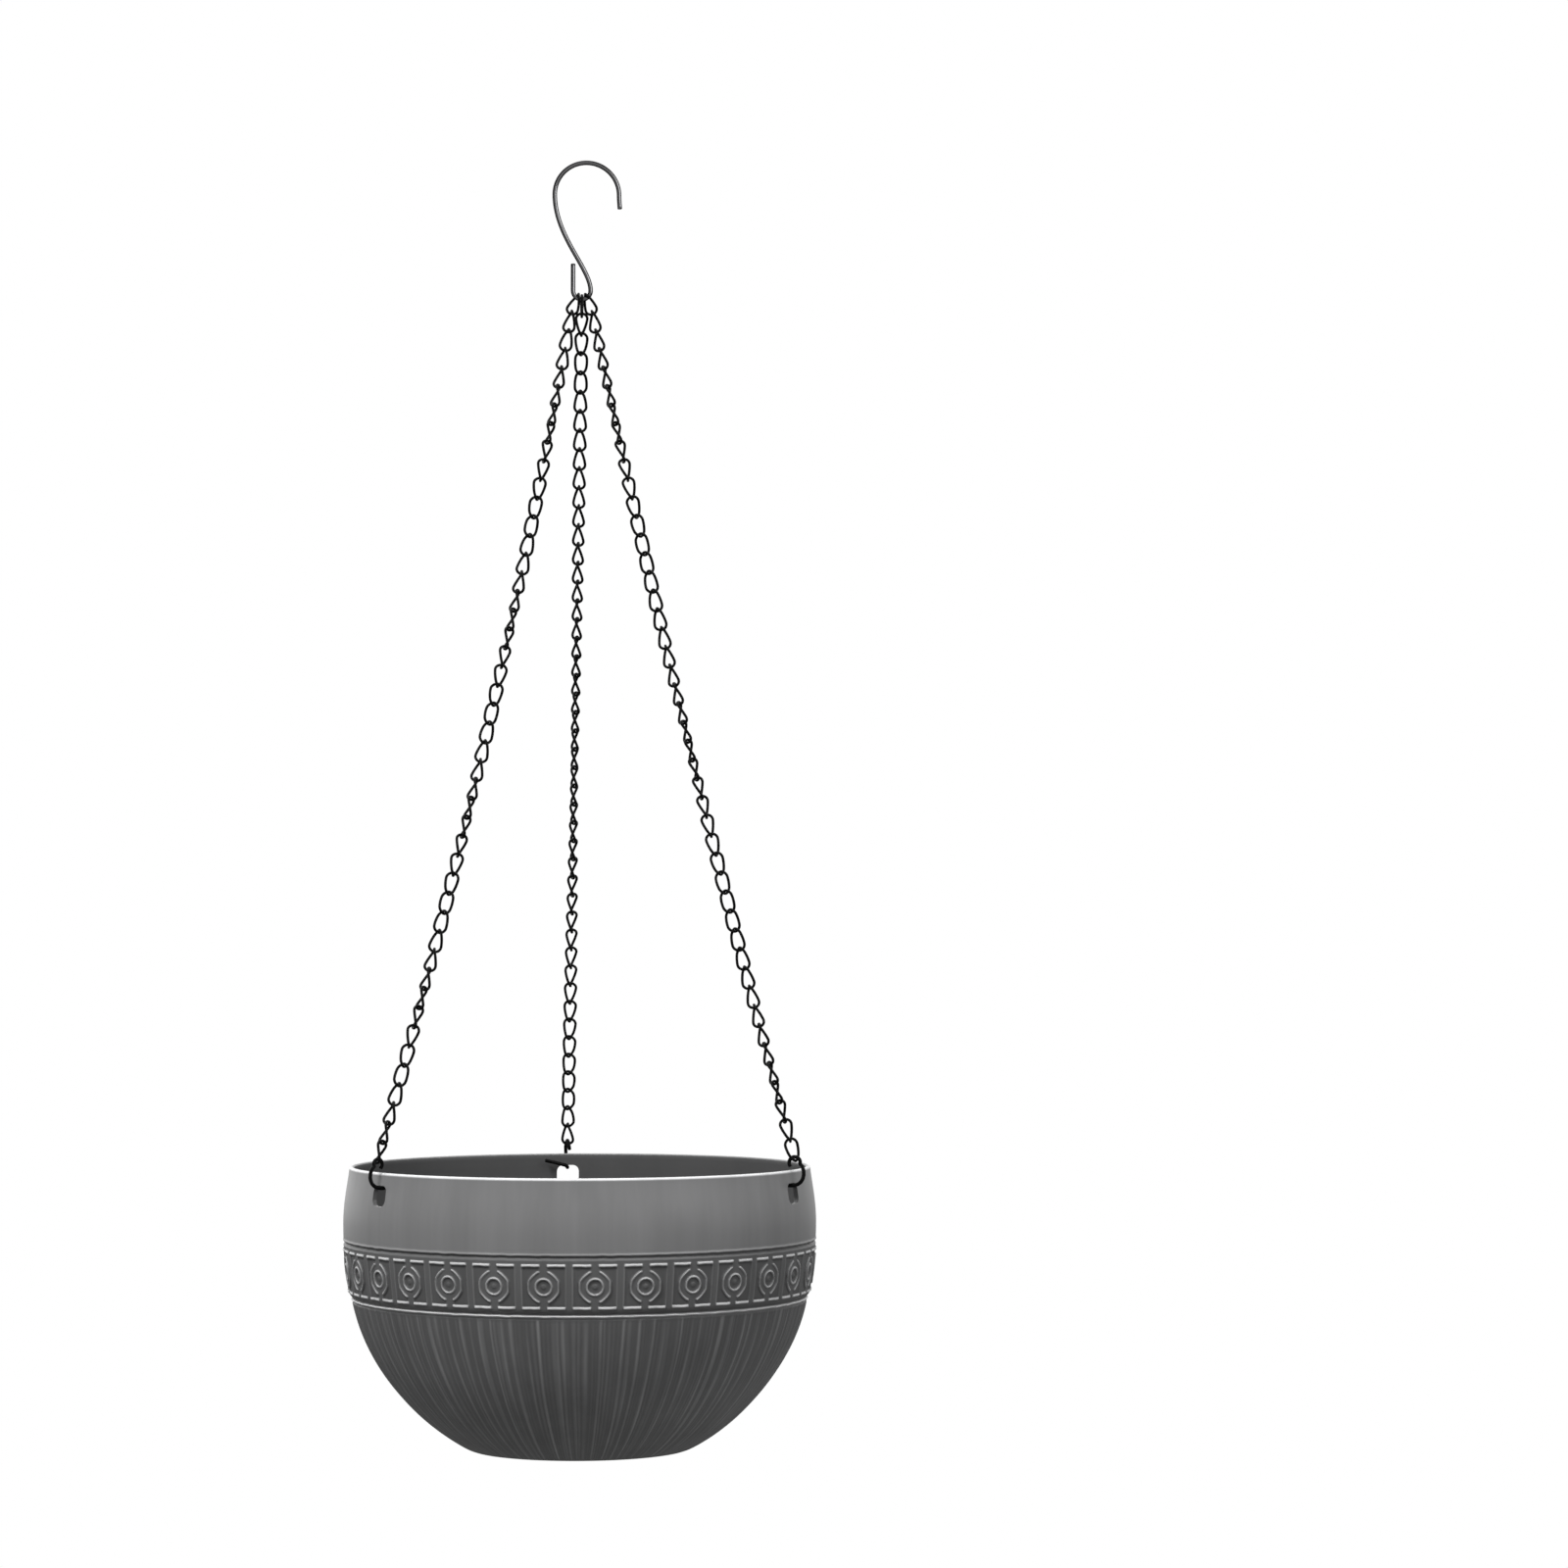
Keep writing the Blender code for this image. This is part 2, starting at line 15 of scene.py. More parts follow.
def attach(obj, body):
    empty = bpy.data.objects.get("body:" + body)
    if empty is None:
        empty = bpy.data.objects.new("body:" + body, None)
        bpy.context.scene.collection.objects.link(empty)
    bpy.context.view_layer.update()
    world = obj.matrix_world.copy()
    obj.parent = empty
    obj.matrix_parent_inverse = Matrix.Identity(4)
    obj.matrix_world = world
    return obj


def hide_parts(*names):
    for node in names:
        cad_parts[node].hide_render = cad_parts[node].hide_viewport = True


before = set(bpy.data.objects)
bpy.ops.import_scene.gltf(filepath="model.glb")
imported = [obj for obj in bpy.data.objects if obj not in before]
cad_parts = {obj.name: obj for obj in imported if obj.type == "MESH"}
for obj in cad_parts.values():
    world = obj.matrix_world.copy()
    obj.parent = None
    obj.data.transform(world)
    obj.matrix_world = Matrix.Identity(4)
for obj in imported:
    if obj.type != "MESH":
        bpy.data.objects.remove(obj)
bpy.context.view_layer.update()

MILLI = 0.001  # lengths are millimetres, except in materials, lights and camera

# ------------------------------------------------------------------ dimensions
# Bowl
RIM_Z, RIM_R, LIP_H = 151.6, 124.0, 0.9
BELLY_R, BELLY_Z = 127.2, 122.0
BASE_R, WALL, FLOOR = 59.5, 2.5, 3.0
HOLE_Z, HOLE_W, HOLE_H, HOLE_CORNER = 139.5, 12.5, 11.0, 3.6
CUT_DEPTH = 30.0
AZIMUTHS = {"left": 210.0, "right": 330.0, "back": 90.0}  # degrees from +X

# Band of motifs
MOTIFS = 30
MOTIF_TURN = 0.15  # degrees from the front to the nearest motif's centre
BAND_R, BAND_MID = 126.2, 96.4
GROOVE_Z, BEAD_Z = 111.4, 80.9
RIB_R = 122.0  # the ribs' spacing is measured at this radius

# Chains
LINK_R, LINK_HALF_L, LINK_HALF_W = 0.69, 5.89, 3.2
LINKS, RUN, GAP = 44, 3, 0.3
LINK_PITCH, LINK_PLAY, LINK_TWIST = 10.5, 0.03, 90.0
COAT = 0.06  # the black coating thickens the wire
WIRE_R = LINK_R + COAT
SAG = {"left": 7.0, "right": 4.0, "back": 4.0}
# (link number, turn of its top about the chain in degrees)
WINDING = {
    "left": ((0, 135), (1, 146), (5.5, 90), (16.1, -90), (36.2, -450), (44, -590)),
    "right": (
        (0, 125), (4.8, 90), (11.4, 0), (22.1, -90), (30.2, -180), (40.7, -270), (44, -320),
    ),
    "back": (
        (0, 38), (2.2, 0), (4, -30), (15, -70), (22, -90), (28, -105), (34.5, -137),
        (41.8, -180), (44, -225),
    ),
}

# S-shaped hook, and the top links' place on its lower bend
HOOK_R, HOOK_CHAMFER = 1.2, 0.25
CROWN_X, CROWN_Z, CROWN_ARC = 2.7, 678.1, 17.5
BEND_Z, BEND_ARC, HOOK_TAIL_Z = 625.7, 4.77, 640.1
LINK_ON_BEND, TOP_LEAN = 44.0, 21.5  # degrees

# Chain hooks in the bowl's holes
CLIP_R, CLIP_EYE, CLIP_EYE_Z, CLIP_BULGE = 0.9, 2.9, 155.9, 4.6
CLIP_X, CLIP_CHAMFER = RIM_R + 2.4, 0.2
EYE_STEP = 0.24  # sideways shift between the points of the eye

# Water grid
GRID_R, GRID_TOP, GRID_THICK, GRID_RIM_W, GRID_BEVEL = 95.0, 39.5, 3.0, 9.4, 0.35
R_IN = GRID_R - GRID_RIM_W
CUP_RING, CUP_R, CUP_LIP, CUP_FOOT_R, CUP_COLLAR = 57.0, 9.0, 2.2, 7.4, 0.6
GRID_FOOT_Z, GRID_TURN = FLOOR + 0.3, 30.0
BAR_PITCH, BAR_W_TOP, BAR_W_LOW = 6.9, 1.35, 2.1
BAR_TOP, BAR_LOW = GRID_TOP - 0.25, GRID_TOP - GRID_THICK + 0.1


# ------------------------------------------------------------------ objects and meshes
def new_object(name, mesh, material):
    obj = bpy.data.objects.new(name, mesh)
    bpy.context.scene.collection.objects.link(obj)
    set_material(mesh, material)
    return obj


def set_material(mesh, material):
    mesh.materials.clear()
    mesh.materials.append(material)


def register(obj, body, node):
    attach(obj, body)
    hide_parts(node)


def mesh_from(name, verts, faces, smooth=True):
    mesh = bpy.data.meshes.new(name)
    mesh.from_pydata([tuple(v) for v in verts], [], faces)
    mesh.update()
    if smooth:
        mesh.shade_smooth()
    return mesh


def face_outward(mesh):
    bm = bmesh.new()
    bm.from_mesh(mesh)
    bmesh.ops.recalc_face_normals(bm, faces=bm.faces)
    bm.to_mesh(mesh)
    bm.free()


def evaluated_mesh(obj):
    """A new mesh with the object's modifiers or curve settings applied."""
    bpy.context.view_layer.update()
    graph = bpy.context.evaluated_depsgraph_get()
    return bpy.data.meshes.new_from_object(obj.evaluated_get(graph))


def tube(name, points, radii, sides, closed=False):
    """A round wire through an array of points, with a radius for each, as a closed mesh."""
    count = len(points)
    if closed:
        tangent = np.roll(points, -1, 0) - np.roll(points, 1, 0)
    else:
        tangent = np.gradient(points, axis=0)
    tangent /= np.linalg.norm(tangent, axis=1)[:, None]

    # carry one sideways direction along the wire without turning it
    side = np.cross(tangent[0], np.array([0.0, 1.0, 0.0]))
    side /= np.linalg.norm(side)
    frames = [side]
    for i in range(1, count):
        side = frames[-1] - tangent[i] * (frames[-1] @ tangent[i])
        frames.append(side / np.linalg.norm(side))
    twist = 0.0
    if closed:
        side = frames[-1] - tangent[0] * (frames[-1] @ tangent[0])
        side /= np.linalg.norm(side)
        twist = math.atan2(np.cross(side, frames[0]) @ tangent[0], side @ frames[0])

    verts, faces = [], []
    for i in range(count):
        start = twist * i / count
        side, other = frames[i], np.cross(tangent[i], frames[i])
        for k in range(sides):
            angle = math.tau * k / sides + start
            offset = side * math.cos(angle) + other * math.sin(angle)
            verts.append((points[i] + radii[i] * offset) * MILLI)
    for i in range(count if closed else count - 1):
        j = (i + 1) % count
        for k in range(sides):
            k2 = (k + 1) % sides
            faces.append((i * sides + k, i * sides + k2, j * sides + k2, j * sides + k))
    if not closed:
        faces.append(tuple(reversed(range(sides))))
        faces.append(tuple(range((count - 1) * sides, count * sides)))
    mesh = mesh_from(name, verts, faces)
    face_outward(mesh)
    mesh.set_sharp_from_angle(angle=math.radians(50))
    return mesh


def with_ends(path, radius, chamfer):
    """Adds the small bevel of a sheared wire end to both ends of a path."""
    path = np.array(path, float)

    def end(tip, neighbour):
        outward = (tip - neighbour) / np.linalg.norm(tip - neighbour)
        return tip - outward * 0.02, tip + outward * chamfer

    first_inner, first_outer = end(path[0], path[1])
    last_inner, last_outer = end(path[-1], path[-2])
    points = np.vstack(([first_outer], [first_inner], path[1:-1], [last_inner], [last_outer]))
    radii = np.full(len(points), radius)
    radii[0] = radii[-1] = radius - chamfer * 1.2
    return points, radii


# ------------------------------------------------------------------ curves and directions
def bezier(start, pull_start, pull_end, end, count):
    t = np.linspace(0, 1, count + 1)[:, None]
    start, pull_start, pull_end, end = map(np.array, (start, pull_start, pull_end, end))
    back = 1 - t
    return (
        back**3 * start + 3 * back * back * t * pull_start + 3 * back * t * t * pull_end
        + t**3 * end
    )


def smoothstep(share):
    share = np.clip(share, 0, 1)
    return share * share * (3 - 2 * share)


def above(value, start, width):
    """0 up to start, then a soft rise to 1 over width."""
    return smoothstep((value - start) / width)


def below(value, end, width):
    """0 beyond end, with a soft rise to 1 over width as the value falls."""
    return smoothstep((end - value) / width)


def ridge_at(value, centre, width):
    """A bell-shaped ridge, 1 at its centre."""
    return np.exp(-(((value - centre) / width) ** 2))


def radial(azimuth):
    angle = math.radians(azimuth)
    return Vector((math.cos(angle), math.sin(angle), 0.0))


UP = Vector((0, 0, 1))


def out_and_side(azimuth):
    """Unit vectors away from the bowl's axis and round it."""
    out = radial(azimuth)
    return out, UP.cross(out)


def placement(x, y, z, origin):
    """The matrix with these axes and this origin in mm."""
    basis = Matrix((x, y, z)).transposed().to_4x4()
    basis.translation = origin * MILLI
    return basis


# ------------------------------------------------------------------ node helper
class Nodes:
    """A thin helper over the node tree of a material or world."""

    def __init__(self, owner):
        self.owner = owner
        owner.use_nodes = True
        self.tree = owner.node_tree
        self.shader = self.tree.nodes.get("Principled BSDF")

    def feed(self, node, key, value):
        """Links an output to an input, or sets the input's value."""
        if hasattr(value, "is_output"):
            self.tree.links.new(value, node.inputs[key])
        else:
            node.inputs[key].default_value = value

    def put(self, key, value):
        self.feed(self.shader, key, value)

    def add(self, kind, inputs=None, **values):
        node = self.tree.nodes.new(kind)
        for key, value in values.items():
            setattr(node, key, value)
        for key, value in (inputs or {}).items():
            self.feed(node, key, value)
        return node

    def coords(self):
        return self.add("ShaderNodeTexCoord").outputs["Object"]

    def noise(self, vector, scale, detail):
        return self.add(
            "ShaderNodeTexNoise",
            {"Vector": vector, "Scale": scale, "Detail": detail, "Roughness": 0.5},
        ).outputs["Fac"]

    def ramp(self, value, span, to):
        """Maps the span of the value linearly to a new range, held at its ends."""
        return self.add(
            "ShaderNodeMapRange", {0: value, 1: span[0], 2: span[1], 3: to[0], 4: to[1]}
        ).outputs[0]

    def spread(self, noise, low, high):
        """Maps the busy middle of a noise to low .. high."""
        return self.ramp(noise, span=(0.3, 0.7), to=(low, high))

    def math(self, operation, first, second):
        return self.add("ShaderNodeMath", {0: first, 1: second}, operation=operation).outputs[0]

    def times(self, first, second):
        return self.math("MULTIPLY", first, second)

    def plus(self, first, second):
        return self.math("ADD", first, second)

    def grey(self, value, tint=(1.0, 1.0, 1.0)):
        channels = {i: self.times(value, share) for i, share in enumerate(tint)}
        return self.add("ShaderNodeCombineColor", channels).outputs[0]

    def bump(self, height, distance, strength):
        return self.add(
            "ShaderNodeBump", {"Height": height, "Distance": distance, "Strength": strength}
        ).outputs["Normal"]


# ------------------------------------------------------------------ materials (metres)
# Brightness of the bowl: above the band, on it, under it and at the foot; the darker band and
# body are painted shade, the lighter foot painted light
UPPER_TONE, BAND_TONE, LOWER_TONE, BASE_TONE = 0.153, 0.088, 0.080, 0.175
# Factors for the painted highlight on raised edges, the painted shade in hollows and the painted
# shade on the inner side
RAISED_HIGHLIGHT, SUNK_SHADE, INNER_SHADE = 5.8, 0.5, 0.54


def bowl_material():
    nodes = Nodes(bpy.data.materials.new("bowl_plastic_surface"))
    at = nodes.coords()
    split = nodes.add("ShaderNodeSeparateXYZ", {0: at})
    x, y, z = split.outputs["X"], split.outputs["Y"], split.outputs["Z"]
    cloud = nodes.noise(at, scale=14.0, detail=4.0)
    fine = nodes.noise(at, scale=420.0, detail=2.0)
    # soft upright streaks: noise stretched along Z
    tall = nodes.add("ShaderNodeCombineXYZ", {0: x, 1: y, 2: nodes.times(z, 0.06)})
    streak = nodes.noise(tall.outputs[0], scale=75.0, detail=3.0)
    thin = nodes.noise(tall.outputs[0], scale=260.0, detail=2.0)

    # colour: the smooth top, the band, then the ribbed body, with painted shade on the band and
    # body and painted light at the foot
    tone = nodes.ramp(z, span=(0.1085, 0.1125), to=(BAND_TONE, UPPER_TONE))
    body = nodes.ramp(z, span=(0.0, 0.080), to=(BASE_TONE, LOWER_TONE))
    ribbed = nodes.ramp(z, span=(0.0795, 0.0805), to=(1.0, 0.0))
    tone = nodes.times(tone, nodes.math("SUBTRACT", 1.0, ribbed))
    tone = nodes.plus(tone, nodes.times(ribbed, body))
    for noise, low, high in ((cloud, 0.97, 1.03), (streak, 0.93, 1.07), (thin, 0.97, 1.03)):
        tone = nodes.times(tone, nodes.spread(noise, low, high))

    # painted highlight and shade: raised edges are made paler and hollows darker
    relief = nodes.add("ShaderNodeAttribute", attribute_name="relief").outputs["Fac"]
    high = nodes.ramp(relief, span=(0.0, 1.0), to=(1.0, RAISED_HIGHLIGHT))
    hollow_shade = nodes.ramp(relief, span=(-0.7, 0.0), to=(SUNK_SHADE, 1.0))
    tone = nodes.times(tone, nodes.times(high, hollow_shade))

    # painted shade: the inner wall and the floor are darker; the inner wall faces the axis
    level = nodes.add("ShaderNodeNewGeometry").outputs["Normal"]
    toward = nodes.add(
        "ShaderNodeVectorMath",
        {0: nodes.add("ShaderNodeCombineXYZ", {0: x, 1: y}).outputs[0], 1: level},
        operation="DOT_PRODUCT",
    ).outputs["Value"]
    inner = nodes.math("LESS_THAN", toward, -0.002)
    inner = nodes.times(inner, nodes.math("LESS_THAN", z, 0.1508))
    upward = nodes.add("ShaderNodeSeparateXYZ", {0: level}).outputs["Z"]
    bottom = nodes.times(
        nodes.math("GREATER_THAN", upward, 0.5), nodes.math("LESS_THAN", z, 0.012)
    )
    inner = nodes.math("MAXIMUM", inner, bottom)
    plain = nodes.times(nodes.spread(cloud, low=0.96, high=1.04), UPPER_TONE * INNER_SHADE)
    plain = nodes.times(plain, nodes.spread(streak, low=0.96, high=1.04))
    tone = nodes.times(tone, nodes.math("SUBTRACT", 1.0, inner))
    tone = nodes.plus(tone, nodes.times(plain, inner))
    nodes.put("Base Color", nodes.grey(tone, tint=(1.0, 1.0, 1.005)))

    rough = nodes.ramp(z, span=(0.108, 0.114), to=(0.46, 0.38))
    rough = nodes.plus(rough, nodes.spread(cloud, low=-0.03, high=0.04))
    rubbed = nodes.ramp(relief, span=(0.0, 1.0), to=(0.0, 0.08))
    nodes.put("Roughness", nodes.math("SUBTRACT", rough, rubbed))
    nodes.put("Specular IOR Level", 0.42)
    # moulded skin: very fine grain
    nodes.put("Normal", nodes.bump(nodes.times(fine, 0.05), distance=0.0004, strength=0.35))
    return nodes.owner


def grid_material():
    nodes = Nodes(bpy.data.materials.new("grid_plastic_surface"))
    at = nodes.coords()
    cloud = nodes.noise(at, scale=30.0, detail=4.0)
    fine = nodes.noise(at, scale=650.0, detail=2.0)
    tone = nodes.spread(cloud, low=0.020, high=0.028)
    nodes.put("Base Color", nodes.grey(tone, tint=(1.0, 1.0, 1.02)))
    nodes.put("Roughness", nodes.spread(cloud, low=0.40, high=0.5))
    nodes.put("Normal", nodes.bump(nodes.times(fine, 0.06), distance=0.0004, strength=0.4))
    return nodes.owner


def chain_material():
    nodes = Nodes(bpy.data.materials.new("black_coated_wire"))
    at = nodes.coords()
    cloud = nodes.noise(at, scale=220.0, detail=4.0)
    speck = nodes.noise(at, scale=1500.0, detail=3.0)
    # each link is a little lighter or darker than the next
    chance = nodes.add("ShaderNodeObjectInfo").outputs["Random"]
    tone = nodes.times(
        nodes.ramp(cloud, span=(0.3, 0.75), to=(0.002, 0.006)),
        nodes.ramp(chance, span=(0, 1), to=(0.8, 1.3)),
    )
    nodes.put("Base Color", nodes.grey(tone))
    nodes.put("Roughness", nodes.spread(speck, low=0.3, high=0.45))
    nodes.put("Specular IOR Level", 0.1)
    nodes.put("Coat Weight", 0.02)
    nodes.put("Coat Roughness", 0.3)
    nodes.put("Normal", nodes.bump(speck, distance=0.00006, strength=0.3))
    return nodes.owner


def hook_material():
    nodes = Nodes(bpy.data.materials.new("bright_plated_wire"))
    at = nodes.coords()
    drawn = nodes.noise(at, scale=900.0, detail=3.0)
    cloud = nodes.noise(at, scale=60.0, detail=3.0)
    edge = nodes.add("ShaderNodeLayerWeight", {"Blend": 0.5}).outputs["Facing"]
    # painted shade: the colour falls to a dark outline where the wire turns away from view
    tone = nodes.times(
        nodes.spread(cloud, low=0.5, high=0.62),
        nodes.ramp(edge, span=(0.03, 0.22), to=(1.0, 0.05)),
    )
    nodes.put("Base Color", nodes.grey(tone, tint=(1.0, 1.0, 1.02)))
    nodes.put("Specular Tint", (0.15, 0.15, 0.15, 1.0))
    nodes.put("Roughness", nodes.spread(drawn, low=0.14, high=0.24))
    nodes.put("Metallic", 1.0)
    nodes.put("Normal", nodes.bump(drawn, distance=0.00003, strength=0.25))
    return nodes.owner


BOWL = bowl_material()
GRID = grid_material()
CHAIN = chain_material()
HOOK = hook_material()


# ------------------------------------------------------------------ bowl
# Heights of the outer rings down to the ribs: (from, to, count)
RING_RUNS = (
    (RIM_Z - LIP_H, 148.8, 9), (147.5, 116.0, 14), (115.5, 107.9, 24),  # smooth top
    (107.5, 85.2, 56),  # motifs
    (84.9, 78.6, 22),  # step in and bead
)
RIBS_TOP = 78.4
# (radius, height) of the underside from the foot inwards
UNDERSIDE = (
    (BASE_R - 0.6, 0.0), (50.0, 0.0), (49.4, 0.35), (48.0, 0.35), (47.4, 0.0),
    (9.0, 0.0), (8.4, 0.3), (3.6, 0.3), (3.0, 0.12),
)
UNDERSIDE_MID = 0.12


def outer_line():
    """(radius, height) of the outer side without its relief, top to bottom."""
    upper = bezier(
        (RIM_R, RIM_Z - LIP_H), (RIM_R + 1.0, 142.0), (BELLY_R, 133.0), (BELLY_R, BELLY_Z), 30
    )
    middle = bezier((BELLY_R, BELLY_Z), (BELLY_R, 112.0), (126.6, 101.0), (123.9, 84.6), 30)
    lower = bezier((122.3, 80.8), (117.0, 51.0), (93.0, 17.0), (BASE_R, 0.0), 80)
    return np.vstack((upper, middle[1:], lower))


def polar_noise(theta, seed, terms, low, high):
    """Irregular wave round the bowl: a sum of whole-number harmonics, at most 1 in size."""
    rng = random.Random(seed)
    value = np.zeros_like(theta)
    for _ in range(terms):
        k = rng.randint(low, high)
        value += rng.uniform(0.4, 1.0) * np.cos(k * theta + rng.uniform(0, math.tau))
    return value / terms


def ribs(theta, fall):
    """(height in mm, tone) of the uneven ribs. fall is 0 under the band, 1 at the base."""
    lean = 0.006 * polar_noise(theta, seed=5, terms=4, low=3, high=9)[None, :] * fall[:, None]
    wander = 0.0012 * np.sin(9 * fall[:, None] + 40 * theta[None, :])
    turn = (theta[None, :] + lean + wander) % math.tau
    height = np.zeros_like(turn)
    tone = np.zeros_like(turn)

    # fine uneven ribs all round
    rng = random.Random(11)
    edges, sizes, angle = [0.0], [], 0.0
    while angle < math.tau:
        angle += rng.uniform(1.5, 3.1) / RIB_R
        edges.append(min(angle, math.tau))
        sizes.append(rng.uniform(0.25, 1.0))
    edges, sizes = np.array(edges), np.array(sizes)
    index = np.clip(np.searchsorted(edges, turn, side="right") - 1, 0, len(sizes) - 1)
    share = (turn - edges[index]) / (edges[index + 1] - edges[index])
    ridge = sizes[index] * np.abs(np.sin(math.pi * share)) ** 0.8
    height += 0.30 * ridge
    # painted light: the fine ribs are paler on their crests and darker between them
    tone += 0.13 * (ridge - 0.4)

    # stronger ridges, 3.6 to 9.4 mm apart
    rng = random.Random(23)
    angle = 0.012
    centres, widths, heights = [], [], []
    while angle < math.tau - 0.02:
        centres.append(angle)
        widths.append(rng.uniform(0.55, 1.05) / RIB_R)
        heights.append(rng.uniform(0.35, 1.0))
        angle += rng.uniform(3.6, 9.4) / RIB_R
    centres, widths, heights = map(np.array, (centres, widths, heights))
    near = np.clip(np.searchsorted(centres, turn), 1, len(centres) - 1)
    for pick in (near - 1, near):
        line = heights[pick] * ridge_at(turn, centres[pick], widths[pick])
        line = line * (0.7 + 0.3 * np.sin(7 * fall[:, None] + 9.0 * pick))
        height += 0.42 * line
        # painted highlight along the stronger ridges
        tone += 0.22 * line
    return height - 0.15, tone


def motif(x, y):
    """(relief in mm, tone) of one framed double ring.

    x runs round the bowl and y up it, in mm from the motif's centre.
    """
    soft = 0.42  # width of a stroke's sloping edge
    ring_size, inner_ring, half_frame, bar_y, under_y = 8.15, 4.15, 11.4, 10.95, 9.55

    def stroke(distance, width):
        return smoothstep((width / 2 + soft / 2 - np.abs(distance)) / soft)

    wide, tall = np.abs(x), np.abs(y)
    radius = np.hypot(x, y)
    phi = np.arctan2(y, x)
    octagon = math.cos(math.pi / 8) / np.cos((phi + math.pi / 8) % (math.pi / 4) - math.pi / 8)
    ring_r = ring_size * (0.55 + 0.45 * octagon)

    # the outer ring is open at the top and bottom
    ends = np.where(tall > 5.0, above(wide, 2.0, 0.5), 1.0)
    outer = stroke(radius - ring_r, 1.0) * ends
    inner = stroke(radius - inner_ring, 1.05)
    dot = 0.45 * below(radius, 1.6, 0.7)
    bars = stroke(tall - bar_y, 1.3) * below(wide, half_frame, 0.4)
    bars = bars * above(wide, 1.7, 0.5)
    sides = 0.4 * stroke(wide - half_frame, 0.7) * below(tall, 11.4, 0.5)

    # hollows: the corners outside the ring and the well round the dot
    field = below(wide, half_frame - 0.3, 0.5) * below(tall, 10.4, 0.5)
    field = field * above(radius - ring_r, 0.3, 0.5) * above(wide, 2.2, 0.6)
    well = below(radius, 3.9, 0.5)
    raised = np.maximum.reduce([outer, inner, bars, dot, sides])

    # painted highlight on the raised strokes: the parts of the rings that lie across get more of
    # it than the upright parts
    across = tall / np.maximum(radius, 0.5)
    painted_highlight = np.maximum.reduce([
        outer * (0.16 + 0.6 * across**1.5),
        inner * (0.28 + 0.5 * across**1.5),
        bars,
        0.28 * dot,
        0.26 * sides,
    ])
    # painted shadow: dark lines along the inner edges of the bars, stronger at the top
    under = stroke(tall - under_y, 0.9) * below(wide, half_frame, 0.4)
    under = under * above(wide, 1.7, 0.5) * (1 - outer) * np.where(y > 0, 1.0, 0.5)
    relief = 0.70 * raised - 0.34 * field - 0.30 * well * (1 - dot)
    # painted shade: the tone darkens the corner hollows and the well round the dot
    return relief, painted_highlight - 0.2 * field - 0.16 * well - 0.4 * under


def band_relief(theta, z):
    """(relief, tone) over the band: the motifs, the groove above them and its two lips."""
    pitch = math.tau / MOTIFS
    shifted = theta - math.radians(270.0 + MOTIF_TURN)
    cell = (shifted / pitch + 0.5) % 1.0 - 0.5
    x = cell[None, :] * pitch * BAND_R
    # hand-cut look: the drawing wavers by a tenth or two of a millimetre
    x = x + 0.14 * polar_noise(theta, seed=31, terms=6, low=40, high=150)[None, :]
    waver = 0.16 * polar_noise(theta, seed=32, terms=6, low=60, high=190)[None, :]
    relief, tone = motif(x, (z[:, None] - BAND_MID) + waver)
    wave = 0.22 * polar_noise(theta, seed=3, terms=6, low=30, high=110)[None, :]
    from_groove = z[:, None] + wave - GROOVE_Z
    groove = ridge_at(from_groove, 0.0, 0.55)
    lip = ridge_at(from_groove, 1.35, 0.55)
    ledge = ridge_at(from_groove, -1.6, 0.45)
    relief = relief - 0.85 * groove + 0.3 * lip + 0.18 * ledge
    # painted shade in the groove and a painted highlight on its lips
    return relief, tone - 0.8 * groove + 0.12 * lip + 0.05 * ledge


def outer_side(theta, line):
    """Heights of the outer rings, and the radius and tone all round each."""
    order = np.argsort(line[:, 1])
    lower = line[line[:, 1] < RIBS_TOP][:: (1)]
    z = np.concatenate([np.linspace(*run) for run in RING_RUNS] + [lower[:-1, 1]])
    base = np.interp(z, line[order, 1], line[order, 0])
    # the step in under the band, with the bead standing on it
    base = base - 0.7 * (below(z, 83.4, 1.4) * above(z, 78.8, 1.6))
    relief, tone = band_relief(theta, z)
    wave = 0.24 * polar_noise(theta, seed=8, terms=7, low=25, high=100)[None, :]
    bead = ridge_at(z[:, None] + wave, BEAD_Z, 0.60)
    rib, rib_tone = ribs(theta, np.clip((80.0 - z) / 80.0, 0, 1))

    fade = (below(z, 79.9, 1.2) * above(z, 0.0, 2.0))[:, None]  # where the ribs stand
    band = above(z, 82.4, 0.5)[:, None]
    radii = base[:, None] + relief * band + 1.15 * bead + rib * fade
    # painted highlights: a thin line just under the rim and the bead are made paler
    rim_light = ridge_at(z - RIM_Z, -0.8, 0.4)[:, None]
    tone = tone * band + 1.5 * bead + rib_tone * fade + 0.62 * rim_light
    # painted shade: dark lines over and under the bead
    for centre, width in ((82.5, 0.6), (79.3, 0.5)):
        tone = tone - 0.3 * ridge_at(z, centre, width)[:, None] * (1 - bead)
    return z, radii, tone


